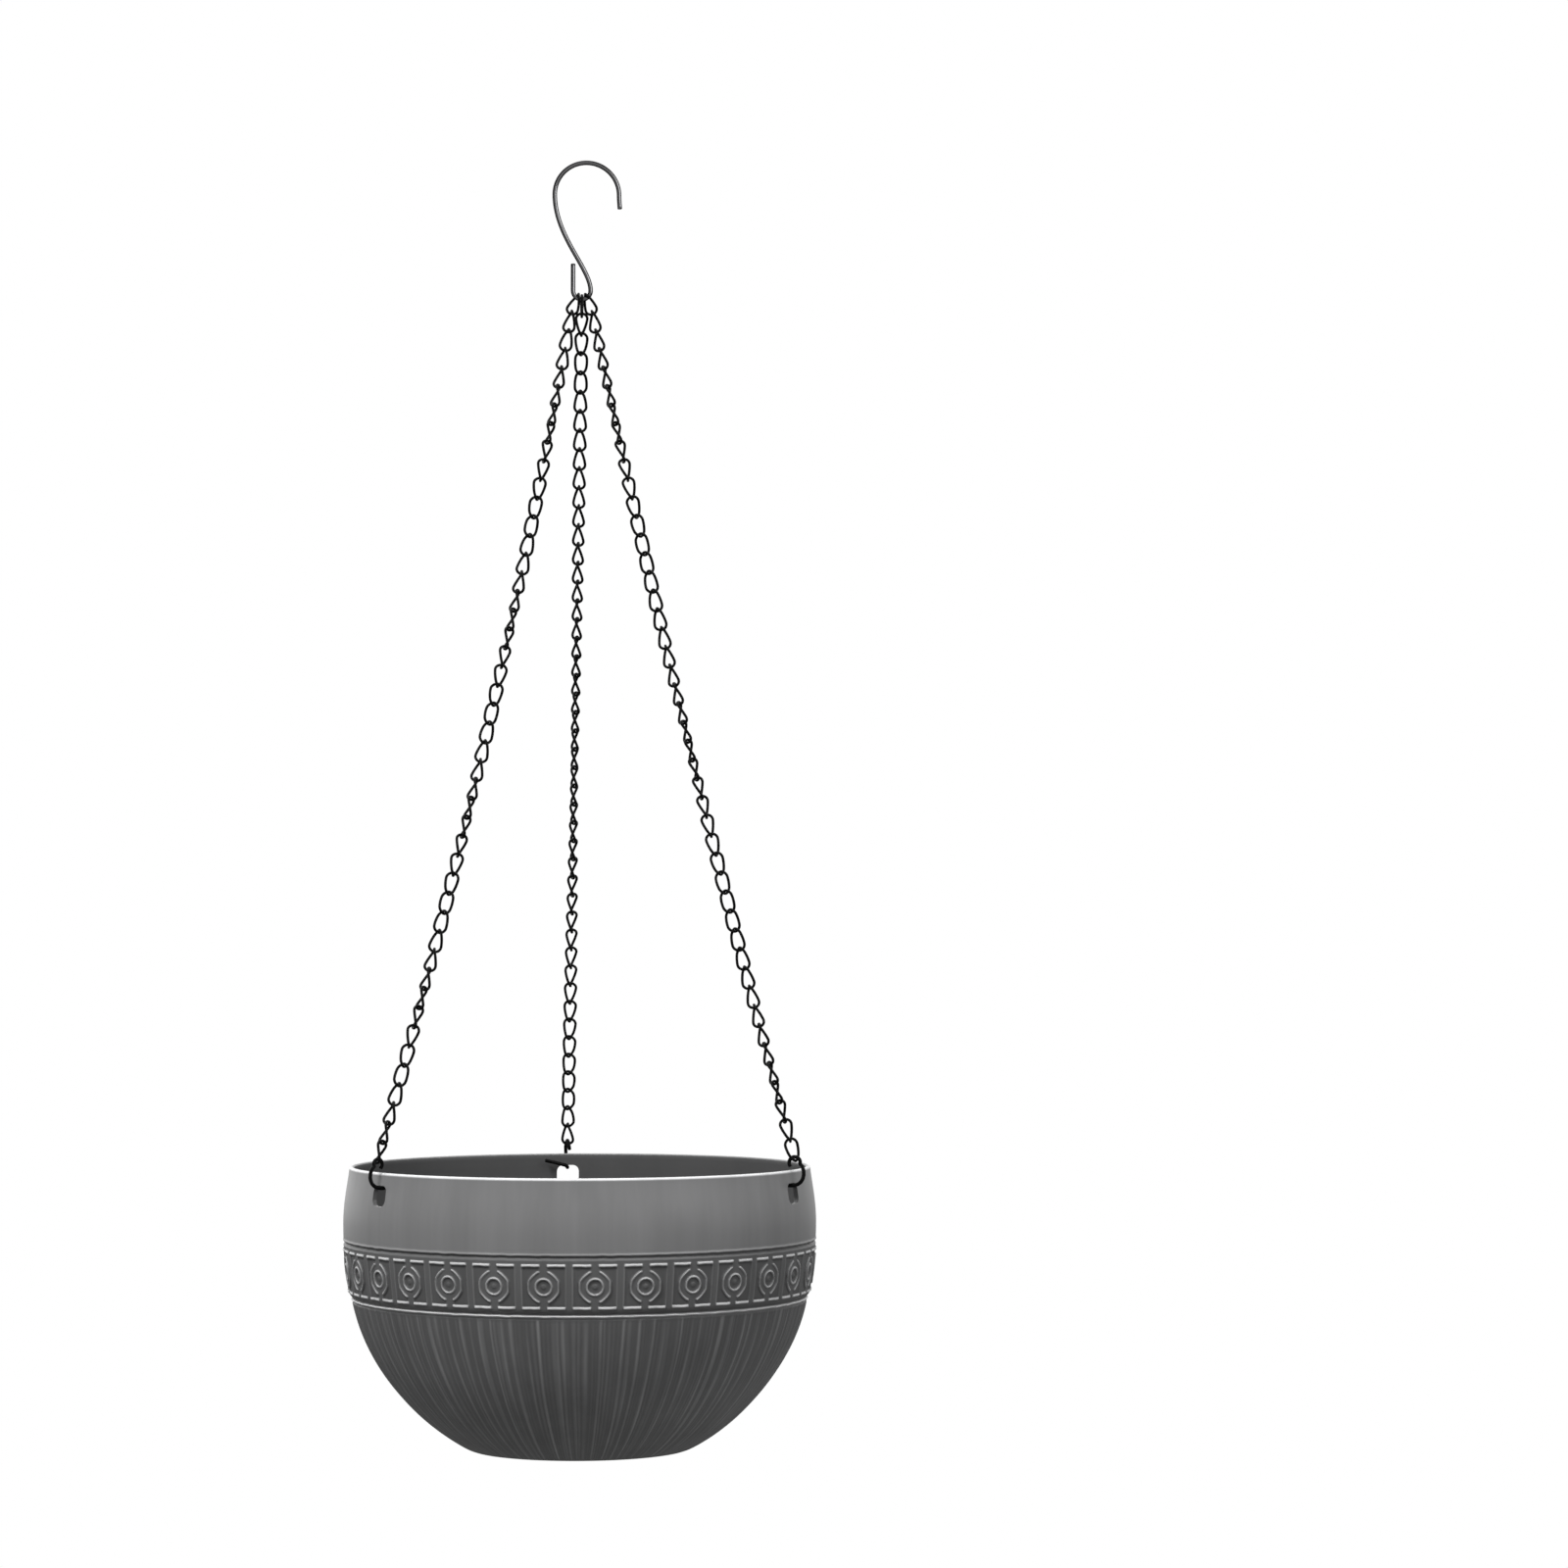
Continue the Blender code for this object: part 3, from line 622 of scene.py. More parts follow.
def bowl_rings(theta):
    """Radii, height and tones of every ring: up the inside, down the outside, underneath."""
    line = outer_line()
    rings = []

    def ring(radius, z, shade=0.0):
        shape = (len(theta),)
        rings.append((np.broadcast_to(radius, shape), float(z), np.broadcast_to(shade, shape)))

    # inside, from the floor's centre up
    for radius in (4.0, 20.0, 38.0, 52.0):
        ring(radius, FLOOR)
    inner = line[::-1]
    direction = np.gradient(inner, axis=0)
    direction /= np.linalg.norm(direction, axis=1)[:, None]
    inner_wall = inner + np.c_[-direction[:, 1], direction[:, 0]] * WALL
    keep = (inner_wall[:, 1] > FLOOR + 1.2) & (inner_wall[:, 1] < RIM_Z - 1.4)
    wall = inner_wall[keep]
    smooth_r = np.convolve(np.pad(wall[:, 0], 4, mode="edge"), np.ones(9) / 9, mode="valid")
    ring(wall[0, 0] - 4.0, FLOOR + 0.1)
    ring(wall[0, 0] - 1.6, FLOOR + 0.5)
    for radius, z in zip(smooth_r[::3], wall[::3, 1]):
        ring(radius, z)

    # rounded lip, up to where the outer side starts; its tone is a painted highlight that grows
    # towards the outer edge
    for step in range(8):
        angle = math.radians(180 - 22.5 * step)
        ring(
            RIM_R - WALL / 2 + WALL / 2 * math.cos(angle),
            RIM_Z - LIP_H + LIP_H * math.sin(angle),
            0.75 * smoothstep(step / 8) - 0.13,
        )
    for z, radii, tone in zip(*outer_side(theta, line)):
        ring(radii, z, tone)
    for radius, z in UNDERSIDE:
        ring(radius, z)
    return map(np.array, zip(*rings))


def build_bowl():
    columns = 1620
    theta = np.arange(columns) * math.tau / columns
    radii, heights, tones = bowl_rings(theta)
    count = len(heights)
    verts = np.empty((count, columns, 3))
    verts[:, :, 0] = radii * np.cos(theta)
    verts[:, :, 1] = radii * np.sin(theta)
    verts[:, :, 2] = heights[:, None]
    middles = [[0, 0, FLOOR], [0, 0, UNDERSIDE_MID]]
    verts = np.vstack((verts.reshape(-1, 3), middles)) * MILLI
    total = len(verts)

    # quads between the rings, and a fan of triangles at each end
    i = np.arange(count - 1)[:, None] * columns
    j = np.arange(columns)[None, :]
    j2 = (j + 1) % columns
    quads = np.stack((i + j, i + columns + j, i + columns + j2, i + j2), -1).reshape(-1, 4)
    around, following = j[0], j2[0]
    start = (count - 1) * columns
    fan_top = np.stack((np.full(columns, total - 2), around, following), -1)
    fan_low = np.stack((np.full(columns, total - 1), start + following, start + around), -1)
    loops = np.concatenate((quads.ravel(), fan_top.ravel(), fan_low.ravel()))
    sizes = np.concatenate((np.full(len(quads), 4), np.full(2 * columns, 3)))

    mesh = bpy.data.meshes.new("planter_bowl")
    mesh.vertices.add(total)
    mesh.vertices.foreach_set("co", verts.ravel())
    mesh.loops.add(len(loops))
    mesh.loops.foreach_set("vertex_index", loops.astype(np.int32))
    mesh.polygons.add(len(sizes))
    mesh.polygons.foreach_set(
        "loop_start", np.concatenate(([0], np.cumsum(sizes)[:-1])).astype(np.int32)
    )
    mesh.update(calc_edges=True)
    mesh.validate()
    shades = mesh.attributes.new("relief", "FLOAT", "POINT")
    shades.data.foreach_set(
        "value", np.concatenate((tones.ravel(), [0.0, 0.0])).astype(np.float32)
    )
    face_outward(mesh)
    mesh.shade_smooth()
    return new_object("planter_bowl", mesh, BOWL)


def slot_prism(width, height, corner, depth, steps=8):
    """A prism with a rounded rectangle in XY, along Z, for cutting."""
    outline = []
    for side_x, side_y, start in ((1, 1, 0), (-1, 1, 90), (-1, -1, 180), (1, -1, 270)):
        for k in range(steps + 1):
            angle = math.radians(start + 90 * k / steps)
            x = side_x * (width / 2 - corner) + corner * math.cos(angle)
            y = side_y * (height / 2 - corner) + corner * math.sin(angle)
            outline.append((x, y))
    count = len(outline)
    verts = [
        (x * MILLI, y * MILLI, end * depth / 2 * MILLI) for end in (-1, 1) for x, y in outline
    ]
    faces = [tuple(reversed(range(count))), tuple(range(count, 2 * count))]
    faces += [
        (k, (k + 1) % count, count + (k + 1) % count, count + k) for k in range(count)
    ]
    return mesh_from("slot_prism", verts, faces, smooth=False)


def cut(obj, cutters):
    """Cuts the prisms out of obj for good."""
    for cutter in cutters:
        modifier = obj.modifiers.new("cut", "BOOLEAN")
        modifier.operation = "DIFFERENCE"
        modifier.solver = "MANIFOLD"
        modifier.object = cutter
    mesh = evaluated_mesh(obj)
    obj.modifiers.clear()
    old = obj.data
    obj.data = mesh
    bpy.data.meshes.remove(old)
    for cutter in cutters:
        bpy.data.objects.remove(cutter, do_unlink=True)


def hole_prisms():
    prisms = []
    for chain, azimuth in AZIMUTHS.items():
        out, side = out_and_side(azimuth)
        prism = bpy.data.objects.new(
            "prism_" + chain, slot_prism(HOLE_W, HOLE_H, HOLE_CORNER, CUT_DEPTH)
        )
        bpy.context.scene.collection.objects.link(prism)
        prism.matrix_world = placement(side, UP, out, out * RIM_R + Vector((0, 0, HOLE_Z)))
        prisms.append(prism)
    return prisms


bowl = build_bowl()
cut(bowl, hole_prisms())
set_material(bowl.data, BOWL)
bowl.data.shade_smooth()
bowl.data.set_sharp_from_angle(angle=math.radians(62))
register(bowl, "basket", "bowl")


# ------------------------------------------------------------------ S-shaped hook
def arc(centre_x, centre_z, radius, start, end, count):
    """(x, z) points of an arc between two angles in degrees."""
    angles = [math.radians(start + (end - start) * i / count) for i in range(count + 1)]
    return [
        (centre_x + radius * math.cos(angle), centre_z + radius * math.sin(angle))
        for angle in angles
    ]


def hook_path():
    """The wire's middle line, from the tip over the crown and down to the tail."""
    right, left = CROWN_X + CROWN_ARC, CROWN_X - CROWN_ARC
    tip = bezier(
        (right + 0.4, CROWN_Z - 7.3), (right + 0.3, CROWN_Z - 5),
        (right, CROWN_Z - 2.5), (right, CROWN_Z), 8,
    )
    crown = arc(CROWN_X, CROWN_Z, CROWN_ARC, 0.0, 180.0, 60)
    shank = bezier((left, CROWN_Z), (left, 655.0), (BEND_ARC, 638.0), (BEND_ARC, BEND_Z), 48)
    low = arc(0.0, BEND_Z, BEND_ARC, 0.0, -180.0, 30)
    tail = [(-BEND_ARC, BEND_Z + (HOOK_TAIL_Z - BEND_Z) * k / 10) for k in range(1, 11)]
    return [(x, 0.0, z) for x, z in [*tip[:-1], *crown, *shank[1:-1], *low, *tail]]


hook_points, hook_radii = with_ends(hook_path(), HOOK_R, HOOK_CHAMFER)
hook = new_object("s_hook", tube("s_hook", hook_points, hook_radii + COAT, 24), HOOK)
register(hook, "hook", "hook")


# ------------------------------------------------------------------ chains
def link_path(half_length, twist, end_steps=9, side_steps=7):
    """Middle line of a link along Z, its foot turned by twist degrees from its top."""
    straight = half_length - LINK_HALF_W
    flat = []
    for k in range(-end_steps, end_steps + 1):
        angle = math.radians(90 * k / end_steps)
        flat.append((LINK_HALF_W * math.sin(angle), straight + LINK_HALF_W * math.cos(angle)))
    for k in range(1, side_steps):
        flat.append((LINK_HALF_W, straight - 2 * straight * k / side_steps))
    for k in range(end_steps, -end_steps - 1, -1):
        angle = math.radians(90 * k / end_steps)
        flat.append((LINK_HALF_W * math.sin(angle), -straight - LINK_HALF_W * math.cos(angle)))
    for k in range(1, side_steps):
        flat.append((-LINK_HALF_W, -straight + 2 * straight * k / side_steps))
    points = []
    for across, z in flat:
        turn = math.radians(twist) * (0.5 - z / (2 * half_length))
        points.append((across * math.cos(turn), across * math.sin(turn), z))
    return np.array(points)


def link_mesh(name, half_length, twist):
    """A bent wire link with the fine butt joint of its two ends in one side."""
    path = link_path(half_length, twist)
    seam = len(path) - 4  # a segment in the middle of the second side
    start, end = path[seam], path[seam + 1]
    joint = [start + (end - start) * share for share in (0.42, 0.47, 0.53, 0.58)]
    path = np.vstack((path[: seam + 1], joint, path[seam + 1 :]))
    radii = np.full(len(path), WIRE_R)
    radii[seam + 2 : seam + 4] = WIRE_R * 0.8
    return tube(name, path, radii, 12, closed=True)


def frame_along(down, roll, at):
    """Placement with -Z along down, turned by roll degrees about it."""
    z = -down.normalized()
    x = (Vector((1, 0, 0)) - z * z.x).normalized()
    y = z.cross(x)
    cosine, sine = math.cos(math.radians(roll)), math.sin(math.radians(roll))
    return placement(x * cosine + y * sine, y * cosine - x * sine, z, at)


def place_link(name, mesh, matrix, body, node):
    link = new_object(name, mesh, CHAIN)
    link.matrix_world = matrix
    register(link, body, node)


# below the top links the links touch: half their pitch and one wire, and a hair
twisted = link_mesh("twisted_link", LINK_PITCH / 2 + LINK_R + COAT + LINK_PLAY, LINK_TWIST)
top_twisted = link_mesh("top_twisted_link", LINK_HALF_L, LINK_TWIST)
plain_link = link_mesh("plain_link", LINK_HALF_L, 0.0)


def hang_top_links():
    """Places the three links on the hook's lower bend; returns where each chain starts."""
    bend = Vector((0, 0, BEND_Z))
    on_wire = BEND_ARC - HOOK_R - LINK_R - GAP
    hang = 2 * LINK_HALF_L - 2 * LINK_R - GAP
    starts = {}
    for chain, sign in (("left", -1), ("right", 1), ("back", 0)):
        around = math.radians(LINK_ON_BEND * sign)
        apex = bend + Vector((math.sin(around), 0, -math.cos(around))) * on_wire
        lean = math.radians(TOP_LEAN * sign)
        down = Vector((math.sin(lean), 0, -math.cos(lean)))
        starts[chain] = apex + down * hang
        place_link(
            f"link_{chain}_01",
            plain_link if chain == "back" else top_twisted,
            frame_along(down, 90.0, apex + down * LINK_HALF_L),
            "top_links",
            "top_link_" + chain,
        )
    return starts


def winding_knots(chain, azimuth, along):
    """The chain's winding, ended so that the last link's foot lies across its chain hook."""
    local = frame_along(along, 0.0, Vector((0, 0, 0)))
    side = out_and_side(azimuth)[1]
    wanted = math.degrees(
        math.atan2(side.dot(local.col[1].to_3d()), side.dot(local.col[0].to_3d()))
    )
    *knots, (last, loose) = WINDING[chain]
    half_twist = LINK_TWIST / 2
    closest = wanted - half_twist + 180.0 * round((loose - wanted + half_twist) / 180.0)
    return knots + [(last, closest)]


def roll_at(knots, link):
    """Turn of a link about the chain, between the knots of its winding."""
    for (i, start), (j, stop) in zip(knots, knots[1:]):
        if link <= j:
            return start + (stop - start) * (link - i) / (j - i) - LINK_TWIST / 2


def hang_chain(chain, azimuth, start):
    """Links along a sagging line from the top link down to the eye of the chain hook."""
    eye = radial(azimuth) * CLIP_X + Vector((0, 0, CLIP_EYE_Z + CLIP_EYE))
    end = eye + (eye - start).normalized() * (CLIP_R + LINK_R + GAP + 0.1)
    along = (end - start).normalized()
    drop = Vector((0, 0, -1))
    sagging = (drop - along * drop.dot(along)).normalized()

    def chain_point(share):
        return start + (end - start) * share + sagging * (4 * SAG[chain] * share * (1 - share))

    samples = [chain_point(i / 200) for i in range(201)]
    length = sum((after - before).length for before, after in zip(samples, samples[1:]))
    knots = winding_knots(chain, azimuth, end - start)
    pitch = (length - 2 * LINK_HALF_L) / LINKS
    for i in range(LINKS + 1):
        begin = pitch * i
        top = chain_point(begin / length)
        foot = chain_point((begin + 2 * LINK_HALF_L) / length)
        place_link(
            f"link_{chain}_{i + 2:02d}",
            twisted,
            frame_along(foot - top, roll_at(knots, i), (top + foot) / 2),
            "basket",
            "second_link_" + chain if i == 0 else f"chain_{chain}_{(i - 1) // RUN + 1:02d}",
        )


# The top links are made in the order left, right, back, as in AZIMUTHS
chain_starts = hang_top_links()
for chain, azimuth in AZIMUTHS.items():
    hang_chain(chain, azimuth, chain_starts[chain])


# ------------------------------------------------------------------ chain hooks
def smooth_path(points, steps=6):
    """Catmull-Rom curve through the points."""
    knots = [np.array(point, float) for point in points]
    knots = [2 * knots[0] - knots[1]] + knots + [2 * knots[-1] - knots[-2]]
    found = []
    for i in range(1, len(knots) - 2):
        before, here, after, beyond = knots[i - 1 : i + 3]
        for k in range(steps):
            t = k / steps
            found.append(
                0.5
                * (
                    2 * here
                    + (after - before) * t
                    + (2 * before - 5 * here + 4 * after - beyond) * t * t
                    + (3 * here - before - 3 * after + beyond) * t**3
                )
            )
    found.append(knots[-2])
    return found


def clip_path():
    """(outward, sideways, height): the eye, the swing into the hole, the tail inside."""
    eye = [
        (
            CLIP_X + CLIP_EYE * math.cos(math.radians(angle)),
            EYE_STEP * (i - 4),
            CLIP_EYE_Z + CLIP_EYE * math.sin(math.radians(angle)),
        )
        for i, angle in enumerate(range(225, -16, -30))
    ]
    across_z = HOLE_Z + HOLE_H / 2 - 0.5 - CLIP_R
    bulge = CLIP_X + CLIP_BULGE * 1.3
    end_out, end_side, end_z = eye[-1]
    swing = bezier(
        (end_out, end_z), (bulge, CLIP_EYE_Z - 3.2), (bulge + 0.6, across_z),
        (RIM_R, across_z), 7,
    )
    swing = [(out, end_side * (1 - 0.1 * i), z) for i, (out, z) in enumerate(swing)][1:]
    inside = RIM_R - WALL
    tail = [
        (inside - 0.2, 0.4, across_z + 0.35),
        (inside - 1.6, 1.4, across_z + 1.3),
        (inside - 2.7, 4.0, across_z + 2.1),
        (inside - 4.2, 13.0, across_z + 4.4),
    ]
    return eye + swing + tail


clip_points, clip_radii = with_ends(smooth_path(clip_path()), CLIP_R + 2 * COAT, CLIP_CHAMFER)
clip_mesh = tube("chain_hook", clip_points, clip_radii, 16)
for chain, azimuth in AZIMUTHS.items():
    clip = new_object("wire_hook_" + chain, clip_mesh, CHAIN)
    clip.matrix_world = placement(*out_and_side(azimuth), UP, Vector((0, 0, 0)))
    register(clip, "basket", "chain_hook_" + chain)


# ------------------------------------------------------------------ water grid
ARMS = [radial(GRID_TURN + 120 * i).to_2d() for i in range(3)]
# (radius, height) of a cup: the inside from its axis up, then the outside down
CUP_PROFILE = (
    (0.0, GRID_FOOT_Z + 1.6),
    (CUP_FOOT_R - 2.4, GRID_FOOT_Z + 1.6),
    (CUP_FOOT_R - 1.5, GRID_FOOT_Z + 2.4),
    (CUP_R - 0.1, GRID_TOP - 1.0),
    (CUP_R, GRID_TOP + CUP_COLLAR - 0.2),
    (CUP_R + 0.2, GRID_TOP + CUP_COLLAR),
    (CUP_R + 1.2, GRID_TOP + CUP_COLLAR),
    (CUP_R + 1.4, GRID_TOP + CUP_COLLAR - 0.25),
    (CUP_R + 1.5, GRID_TOP - 0.5),
    (CUP_R + 1.3, GRID_TOP - GRID_THICK - 1.0),
    (CUP_FOOT_R, GRID_FOOT_Z + 0.5),
    (CUP_FOOT_R - 0.5, GRID_FOOT_Z),
    (0.0, GRID_FOOT_Z),
)


def lathe(name, profile, steps, at):
    """A closed turned solid from (radius, height) pairs that start and end on the axis."""
    verts, faces, rings = [], [], []
    for radius, z in profile:
        first = len(verts)
        if radius < 1e-6:
            verts.append((at.x * MILLI, at.y * MILLI, z * MILLI))
        else:
            for k in range(steps):
                angle = math.tau * k / steps
                x, y = at.x + radius * math.cos(angle), at.y + radius * math.sin(angle)
                verts.append((x * MILLI, y * MILLI, z * MILLI))
        rings.append(range(first, len(verts)))
    for ring, after in zip(rings, rings[1:]):
        for k in range(steps):
            k2 = (k + 1) % steps
            if len(ring) == 1:
                faces.append((ring[0], after[k], after[k2]))
            elif len(after) == 1:
                faces.append((ring[k2], ring[k], after[0]))
            else:
                faces.append((ring[k], after[k], after[k2], ring[k2]))
    mesh = mesh_from(name, verts, faces)
    face_outward(mesh)
    return mesh


def add_bar(bm, start, end):
    """Adds one mesh bar with a tapered section."""
    along = (end - start).normalized()
    normal = Vector((-along.y, along.x))
    section = (
        (1, BAR_W_LOW, BAR_LOW), (1, BAR_W_TOP, BAR_TOP),
        (-1, BAR_W_TOP, BAR_TOP), (-1, BAR_W_LOW, BAR_LOW),
    )
    corners = []
    for at in (start, end):
        for side, width, z in section:
            x = at.x + normal.x * side * width / 2
            y = at.y + normal.y * side * width / 2
            corners.append(bm.verts.new((x * MILLI, y * MILLI, z * MILLI)))
    for face in (
        (0, 1, 2, 3), (7, 6, 5, 4), (0, 4, 5, 1), (1, 5, 6, 2), (2, 6, 7, 3), (3, 7, 4, 0)
    ):
        bm.faces.new([corners[i] for i in face])


def runs_inside(origin, direction, inside, reach, steps=1400):
    """Pieces of a line where inside() holds, as (start, end) lengths."""
    held = [inside(origin + direction * (-reach + 2 * reach * k / steps))
            for k in range(steps + 1)]
    runs, start = [], None
    for k, good in enumerate(held + [False]):
        if good and start is None:
            start = k
        if not good and start is not None:
            if k - start > 6:
                ends = (-reach + 2 * reach * start / steps, -reach + 2 * reach * (k - 1) / steps)
                runs.append(ends)
            start = None
    return runs


def spoke_half(along):
    """Half width of a spoke: flared where it meets the hub and the rim."""
    hub_flare = 5.2 * math.exp(-max(along, 0.0) / 8.5)
    return 2.4 + hub_flare + 2.8 * math.exp(-max(R_IN - along, 0.0) / 7.0)


def plate_half(along):
    """Half width of the plate along a spoke, which widens to carry the cup's wall."""
    room = (CUP_R + 1.25) ** 2 - (along - CUP_RING) ** 2
    return max(spoke_half(along), math.sqrt(max(room, 0.0)))


def grid_bars():
    """The crossing bars that fill the three openings of the plate."""
    bm = bmesh.new()
    span = int(R_IN / BAR_PITCH) + 2
    for sector in range(3):
        middle = radial(GRID_TURN + 60 + 120 * sector).to_2d()
        across = Vector((-middle.y, middle.x))

        def in_sector(point):
            if point.length > R_IN + 1.5:
                return False
            for arm in (ARMS[sector], ARMS[(sector + 1) % 3]):
                along = point.dot(arm)
                off = abs(point.x * arm.y - point.y * arm.x)
                if along > -1 and off < spoke_half(along) - 0.9:
                    return False
            if point.length > 0.1 and point.dot(middle) < point.length * 0.5 - 0.6:
                return False
            clear = CUP_R + CUP_LIP - 0.7
            return all((point - arm * CUP_RING).length > clear for arm in ARMS)

        for axis, other, shift in ((middle, across, 0.0), (across, middle, 0.35)):
            for k in range(-span, span + 1):
                origin = other * ((k + shift) * BAR_PITCH)
                for start, end in runs_inside(origin, axis, in_sector, GRID_R):
                    add_bar(bm, origin + axis * start, origin + axis * end)
    mesh = bpy.data.meshes.new("grid_bars")
    bmesh.ops.recalc_face_normals(bm, faces=bm.faces)
    bm.to_mesh(mesh)
    bm.free()
    return mesh


def arm_edge(angle, sign):
    """One side of a spoke from the hub outwards, as far as it borders the opening."""
    cosine, sine = math.cos(angle), math.sin(angle)
    along = Vector((cosine, sine))
    side = Vector((-along.y, along.x)) * sign
    edge = [along * s + side * plate_half(s) for s in np.linspace(6.0, R_IN - 0.4, 120)]

    def borders(point):
        off = sign * (point.y * cosine - point.x * sine)
        turn = math.atan2(off, point.x * cosine + point.y * sine)
        return turn < math.radians(60) and point.length < R_IN

    return [point for point in edge if borders(point)]


def sector_openings():
    """The three openings: out along one spoke, round the rim, back along the next."""
    loops = []
    for sector in range(3):
        angle = math.radians(GRID_TURN + 120 * sector)
        first = arm_edge(angle, 1)
        second = arm_edge(angle + math.radians(120), -1)
        start = math.atan2(first[-1].y, first[-1].x)
        stop = math.atan2(second[-1].y, second[-1].x)
        while stop < start:
            stop += math.tau
        turns = [start + (stop - start) * k / 60 for k in range(1, 60)]
        rim = [Vector((R_IN * math.cos(turn), R_IN * math.sin(turn))) for turn in turns]
        loops.append(first + rim + list(reversed(second)))
    return loops


def round_loop(radius, count, at=(0, 0)):
    angles = [math.tau * k / count for k in range(count)]
    return [(at[0] + radius * math.cos(a), at[1] + radius * math.sin(a)) for a in angles]


def flat_solid(name, loops, low, high, bevel):
    """A flat curve shape with a small rounded edge, made into a mesh."""
    curve = bpy.data.curves.new(name, "CURVE")
    curve.dimensions = "2D"
    curve.fill_mode = "BOTH"
    curve.extrude = (high - low) / 2 * MILLI - bevel * MILLI
    curve.bevel_depth = bevel * MILLI
    curve.bevel_resolution = 1
    curve.offset = -bevel * MILLI
    for loop in loops:
        spline = curve.splines.new("POLY")
        spline.points.add(len(loop) - 1)
        for point, at in zip(spline.points, loop):
            point.co = (at[0] * MILLI, at[1] * MILLI, 0.0, 1.0)
        spline.use_cyclic_u = True
    obj = bpy.data.objects.new(name, curve)
    bpy.context.scene.collection.objects.link(obj)
    mesh = evaluated_mesh(obj)
    bpy.data.objects.remove(obj, do_unlink=True)
    mesh.transform(Matrix.Translation((0, 0, (low + high) / 2 * MILLI)))
    return mesh


def build_grid():
    """The plate, its bars and its three cups as one object."""
    bars = grid_bars()
    cup_holes = [round_loop(CUP_R + 0.25, 64, arm * CUP_RING) for arm in ARMS]
    plate = flat_solid(
        "grid_plate",
        [round_loop(GRID_R, 240)] + sector_openings() + cup_holes,
        low=GRID_TOP - GRID_THICK,
        high=GRID_TOP,
        bevel=GRID_BEVEL,
    )
    cups = [lathe(f"cup_{i}", CUP_PROFILE, 64, arm * CUP_RING) for i, arm in enumerate(ARMS)]
    joined = bmesh.new()
    for source in [plate, bars] + cups:
        joined.from_mesh(source)
    mesh = bpy.data.meshes.new("reservoir_grid")
    joined.to_mesh(mesh)
    joined.free()
    mesh.shade_smooth()
    mesh.set_sharp_from_angle(angle=math.radians(38))
    return new_object("reservoir_grid", mesh, GRID)


register(build_grid(), "water_grid", "water_grid")


# ------------------------------------------------------------------ floor (metres)
def floor_material():
    """A pale matt floor that fades out to the white of the backdrop."""
    nodes = Nodes(bpy.data.materials.new("pale_floor"))
    at = nodes.coords()
    length = nodes.add("ShaderNodeVectorMath", {0: at}, operation="LENGTH").outputs["Value"]
    fade = nodes.ramp(length, span=(0.5, 1.6), to=(0.0, 1.0))
    nodes.put("Base Color", (0.86, 0.86, 0.86, 1))
    nodes.put("Roughness", 0.9)
    nodes.put("Specular IOR Level", 0.1)
    seen = nodes.add("ShaderNodeLightPath").outputs["Is Camera Ray"]
    strength = nodes.ramp(seen, span=(0, 1), to=(0.17, 1.0))
    glow = nodes.add("ShaderNodeEmission", {"Color": (1, 1, 1, 1), "Strength": strength})
    # the floor throws little light back up at the bowl's underside
    fade = nodes.math("MAXIMUM", fade, nodes.math("SUBTRACT", 1.0, seen))
    mix = nodes.add(
        "ShaderNodeMixShader", {0: fade, 1: nodes.shader.outputs[0], 2: glow.outputs[0]}
    )
    out = next(node for node in nodes.tree.nodes if node.type == "OUTPUT_MATERIAL")
    nodes.feed(out, "Surface", mix.outputs[0])
    return nodes.owner


def build_floor():
    mesh = bpy.data.meshes.new("floor")
    bm = bmesh.new()
    bmesh.ops.create_circle(bm, cap_ends=True, segments=96, radius=6.0)
    bm.to_mesh(mesh)
    bm.free()
    floor = new_object("floor", mesh, floor_material())
    floor.location = (0, 0, -0.32)


build_floor()


# ------------------------------------------------------------------ world
# Strength of the light from below, from the level and from overhead
SKY_LOW, SKY_MID, SKY_HIGH = 0.14, 0.46, 1.35


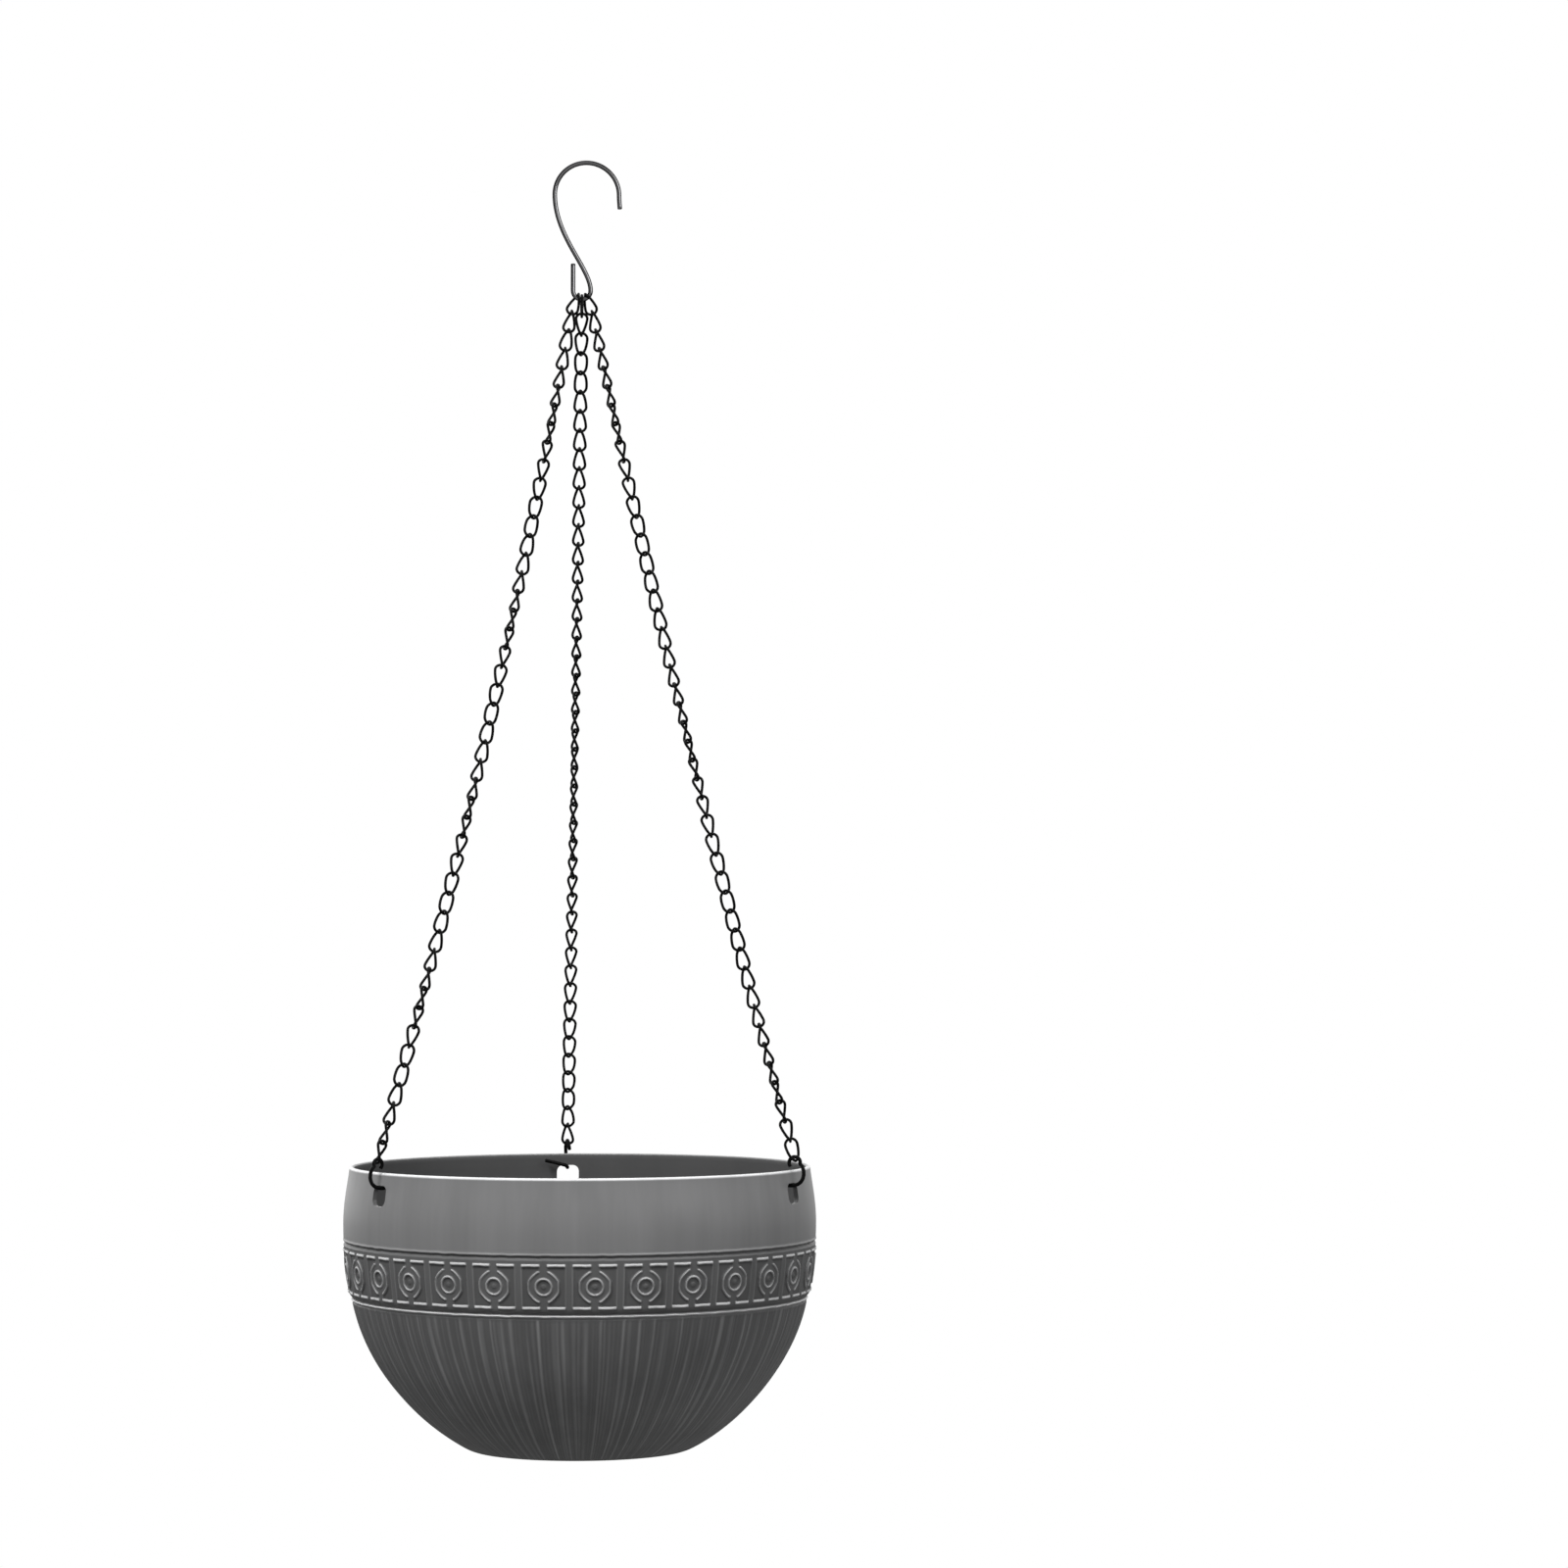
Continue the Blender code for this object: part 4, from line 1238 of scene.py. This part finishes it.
def build_world():
    """White to the camera; bright overhead and dim below as light; a room to mirrors."""
    world = bpy.data.worlds.new("studio")
    bpy.context.scene.world = world
    nodes = Nodes(world)
    nodes.tree.nodes.clear()
    way = nodes.add("ShaderNodeTexCoord").outputs["Generated"]
    split = nodes.add("ShaderNodeSeparateXYZ", {0: way})
    x, y, z = split.outputs["X"], split.outputs["Y"], split.outputs["Z"]
    low = nodes.ramp(z, span=(-0.6, 0.1), to=(SKY_LOW, SKY_MID))
    high = nodes.ramp(z, span=(0.1, 0.9), to=(0.0, SKY_HIGH - SKY_MID))
    sky = nodes.plus(low, high)

    # what a mirror sees: a dark room with bright walls and a bright ceiling
    left = nodes.ramp(x, span=(-0.80, -0.92), to=(0.0, 0.25))
    right = nodes.ramp(x, span=(0.78, 0.92), to=(0.0, 0.8))
    front = nodes.ramp(y, span=(-0.3, -0.8), to=(0.0, 0.13))
    ceiling = nodes.ramp(z, span=(0.6, 0.85), to=(0.0, 0.35))
    behind = nodes.ramp(y, span=(0.35, 0.8), to=(0.0, 1.0))
    behind = nodes.times(behind, nodes.ramp(x, span=(-0.7, 0.7), to=(1.5, 0.8)))
    room = nodes.plus(left, right)
    room = nodes.math("MAXIMUM", room, ceiling)
    room = nodes.plus(room, front)
    room = nodes.math("MAXIMUM", room, behind)
    room = nodes.plus(room, 0.03)

    rays = nodes.add("ShaderNodeLightPath")
    soft, mirror, white = [
        nodes.add("ShaderNodeBackground", {"Color": color, "Strength": strength}).outputs[0]
        for color, strength in (
            ((0.98, 0.99, 1.0, 1), sky), ((1, 1, 1, 1), room), ((1, 1, 1, 1), 1.0)
        )
    ]
    is_glossy, is_camera = rays.outputs["Is Glossy Ray"], rays.outputs["Is Camera Ray"]
    lit = nodes.add("ShaderNodeMixShader", {0: is_glossy, 1: soft, 2: mirror})
    final = nodes.add("ShaderNodeMixShader", {0: is_camera, 1: lit.outputs[0], 2: white})
    nodes.add("ShaderNodeOutputWorld", {"Surface": final.outputs[0]})


build_world()


# ------------------------------------------------------------------ lights and camera
def aim_at(obj, target):
    """Turns a light or camera at its place towards the target."""
    obj.rotation_euler = (target - obj.location).to_track_quat("-Z", "Y").to_euler()


def area(name, at, size, power):
    """A square lamp that points at the bowl."""
    data = bpy.data.lights.new(name, "AREA")
    data.energy = power
    data.size = size
    obj = bpy.data.objects.new(name, data)
    bpy.context.scene.collection.objects.link(obj)
    obj.location = at
    aim_at(obj, Vector((0, 0, 0.2)))
    return obj


key = area("key", at=(-1.3, -1.7, 2.5), size=1.0, power=92)
key.visible_glossy = False  # it lights the matt plastic without a hot spot on the bright wire
area("fill", at=(1.9, -1.8, 1.5), size=1.6, power=20)
area("top", at=(-0.1, 0.1, 2.6), size=1.2, power=27)

CAMERA_TURN = math.radians(-3.29)  # the camera stands a little to the left of the front
CAMERA_DISTANCE, CAMERA_Z = 2.3, 0.278
AIM_RIGHT, AIM_Z = 0.1100, 0.3576  # the aim lies to the right of the bowl's axis


def build_camera():
    data = bpy.data.cameras.new("camera")
    data.sensor_width = 36.0
    data.lens = 97.5
    data.clip_start = 0.05
    camera = bpy.data.objects.new("camera", data)
    bpy.context.scene.collection.objects.link(camera)
    sine, cosine = math.sin(CAMERA_TURN), math.cos(CAMERA_TURN)
    camera.location = (CAMERA_DISTANCE * sine, -CAMERA_DISTANCE * cosine, CAMERA_Z)
    aim_at(camera, Vector((AIM_RIGHT * cosine, AIM_RIGHT * sine, AIM_Z)))
    bpy.context.scene.camera = camera


build_camera()
bpy.context.scene.view_settings.view_transform = "Standard"
bpy.context.scene.view_settings.look = "None"

bpy.context.view_layer.update()
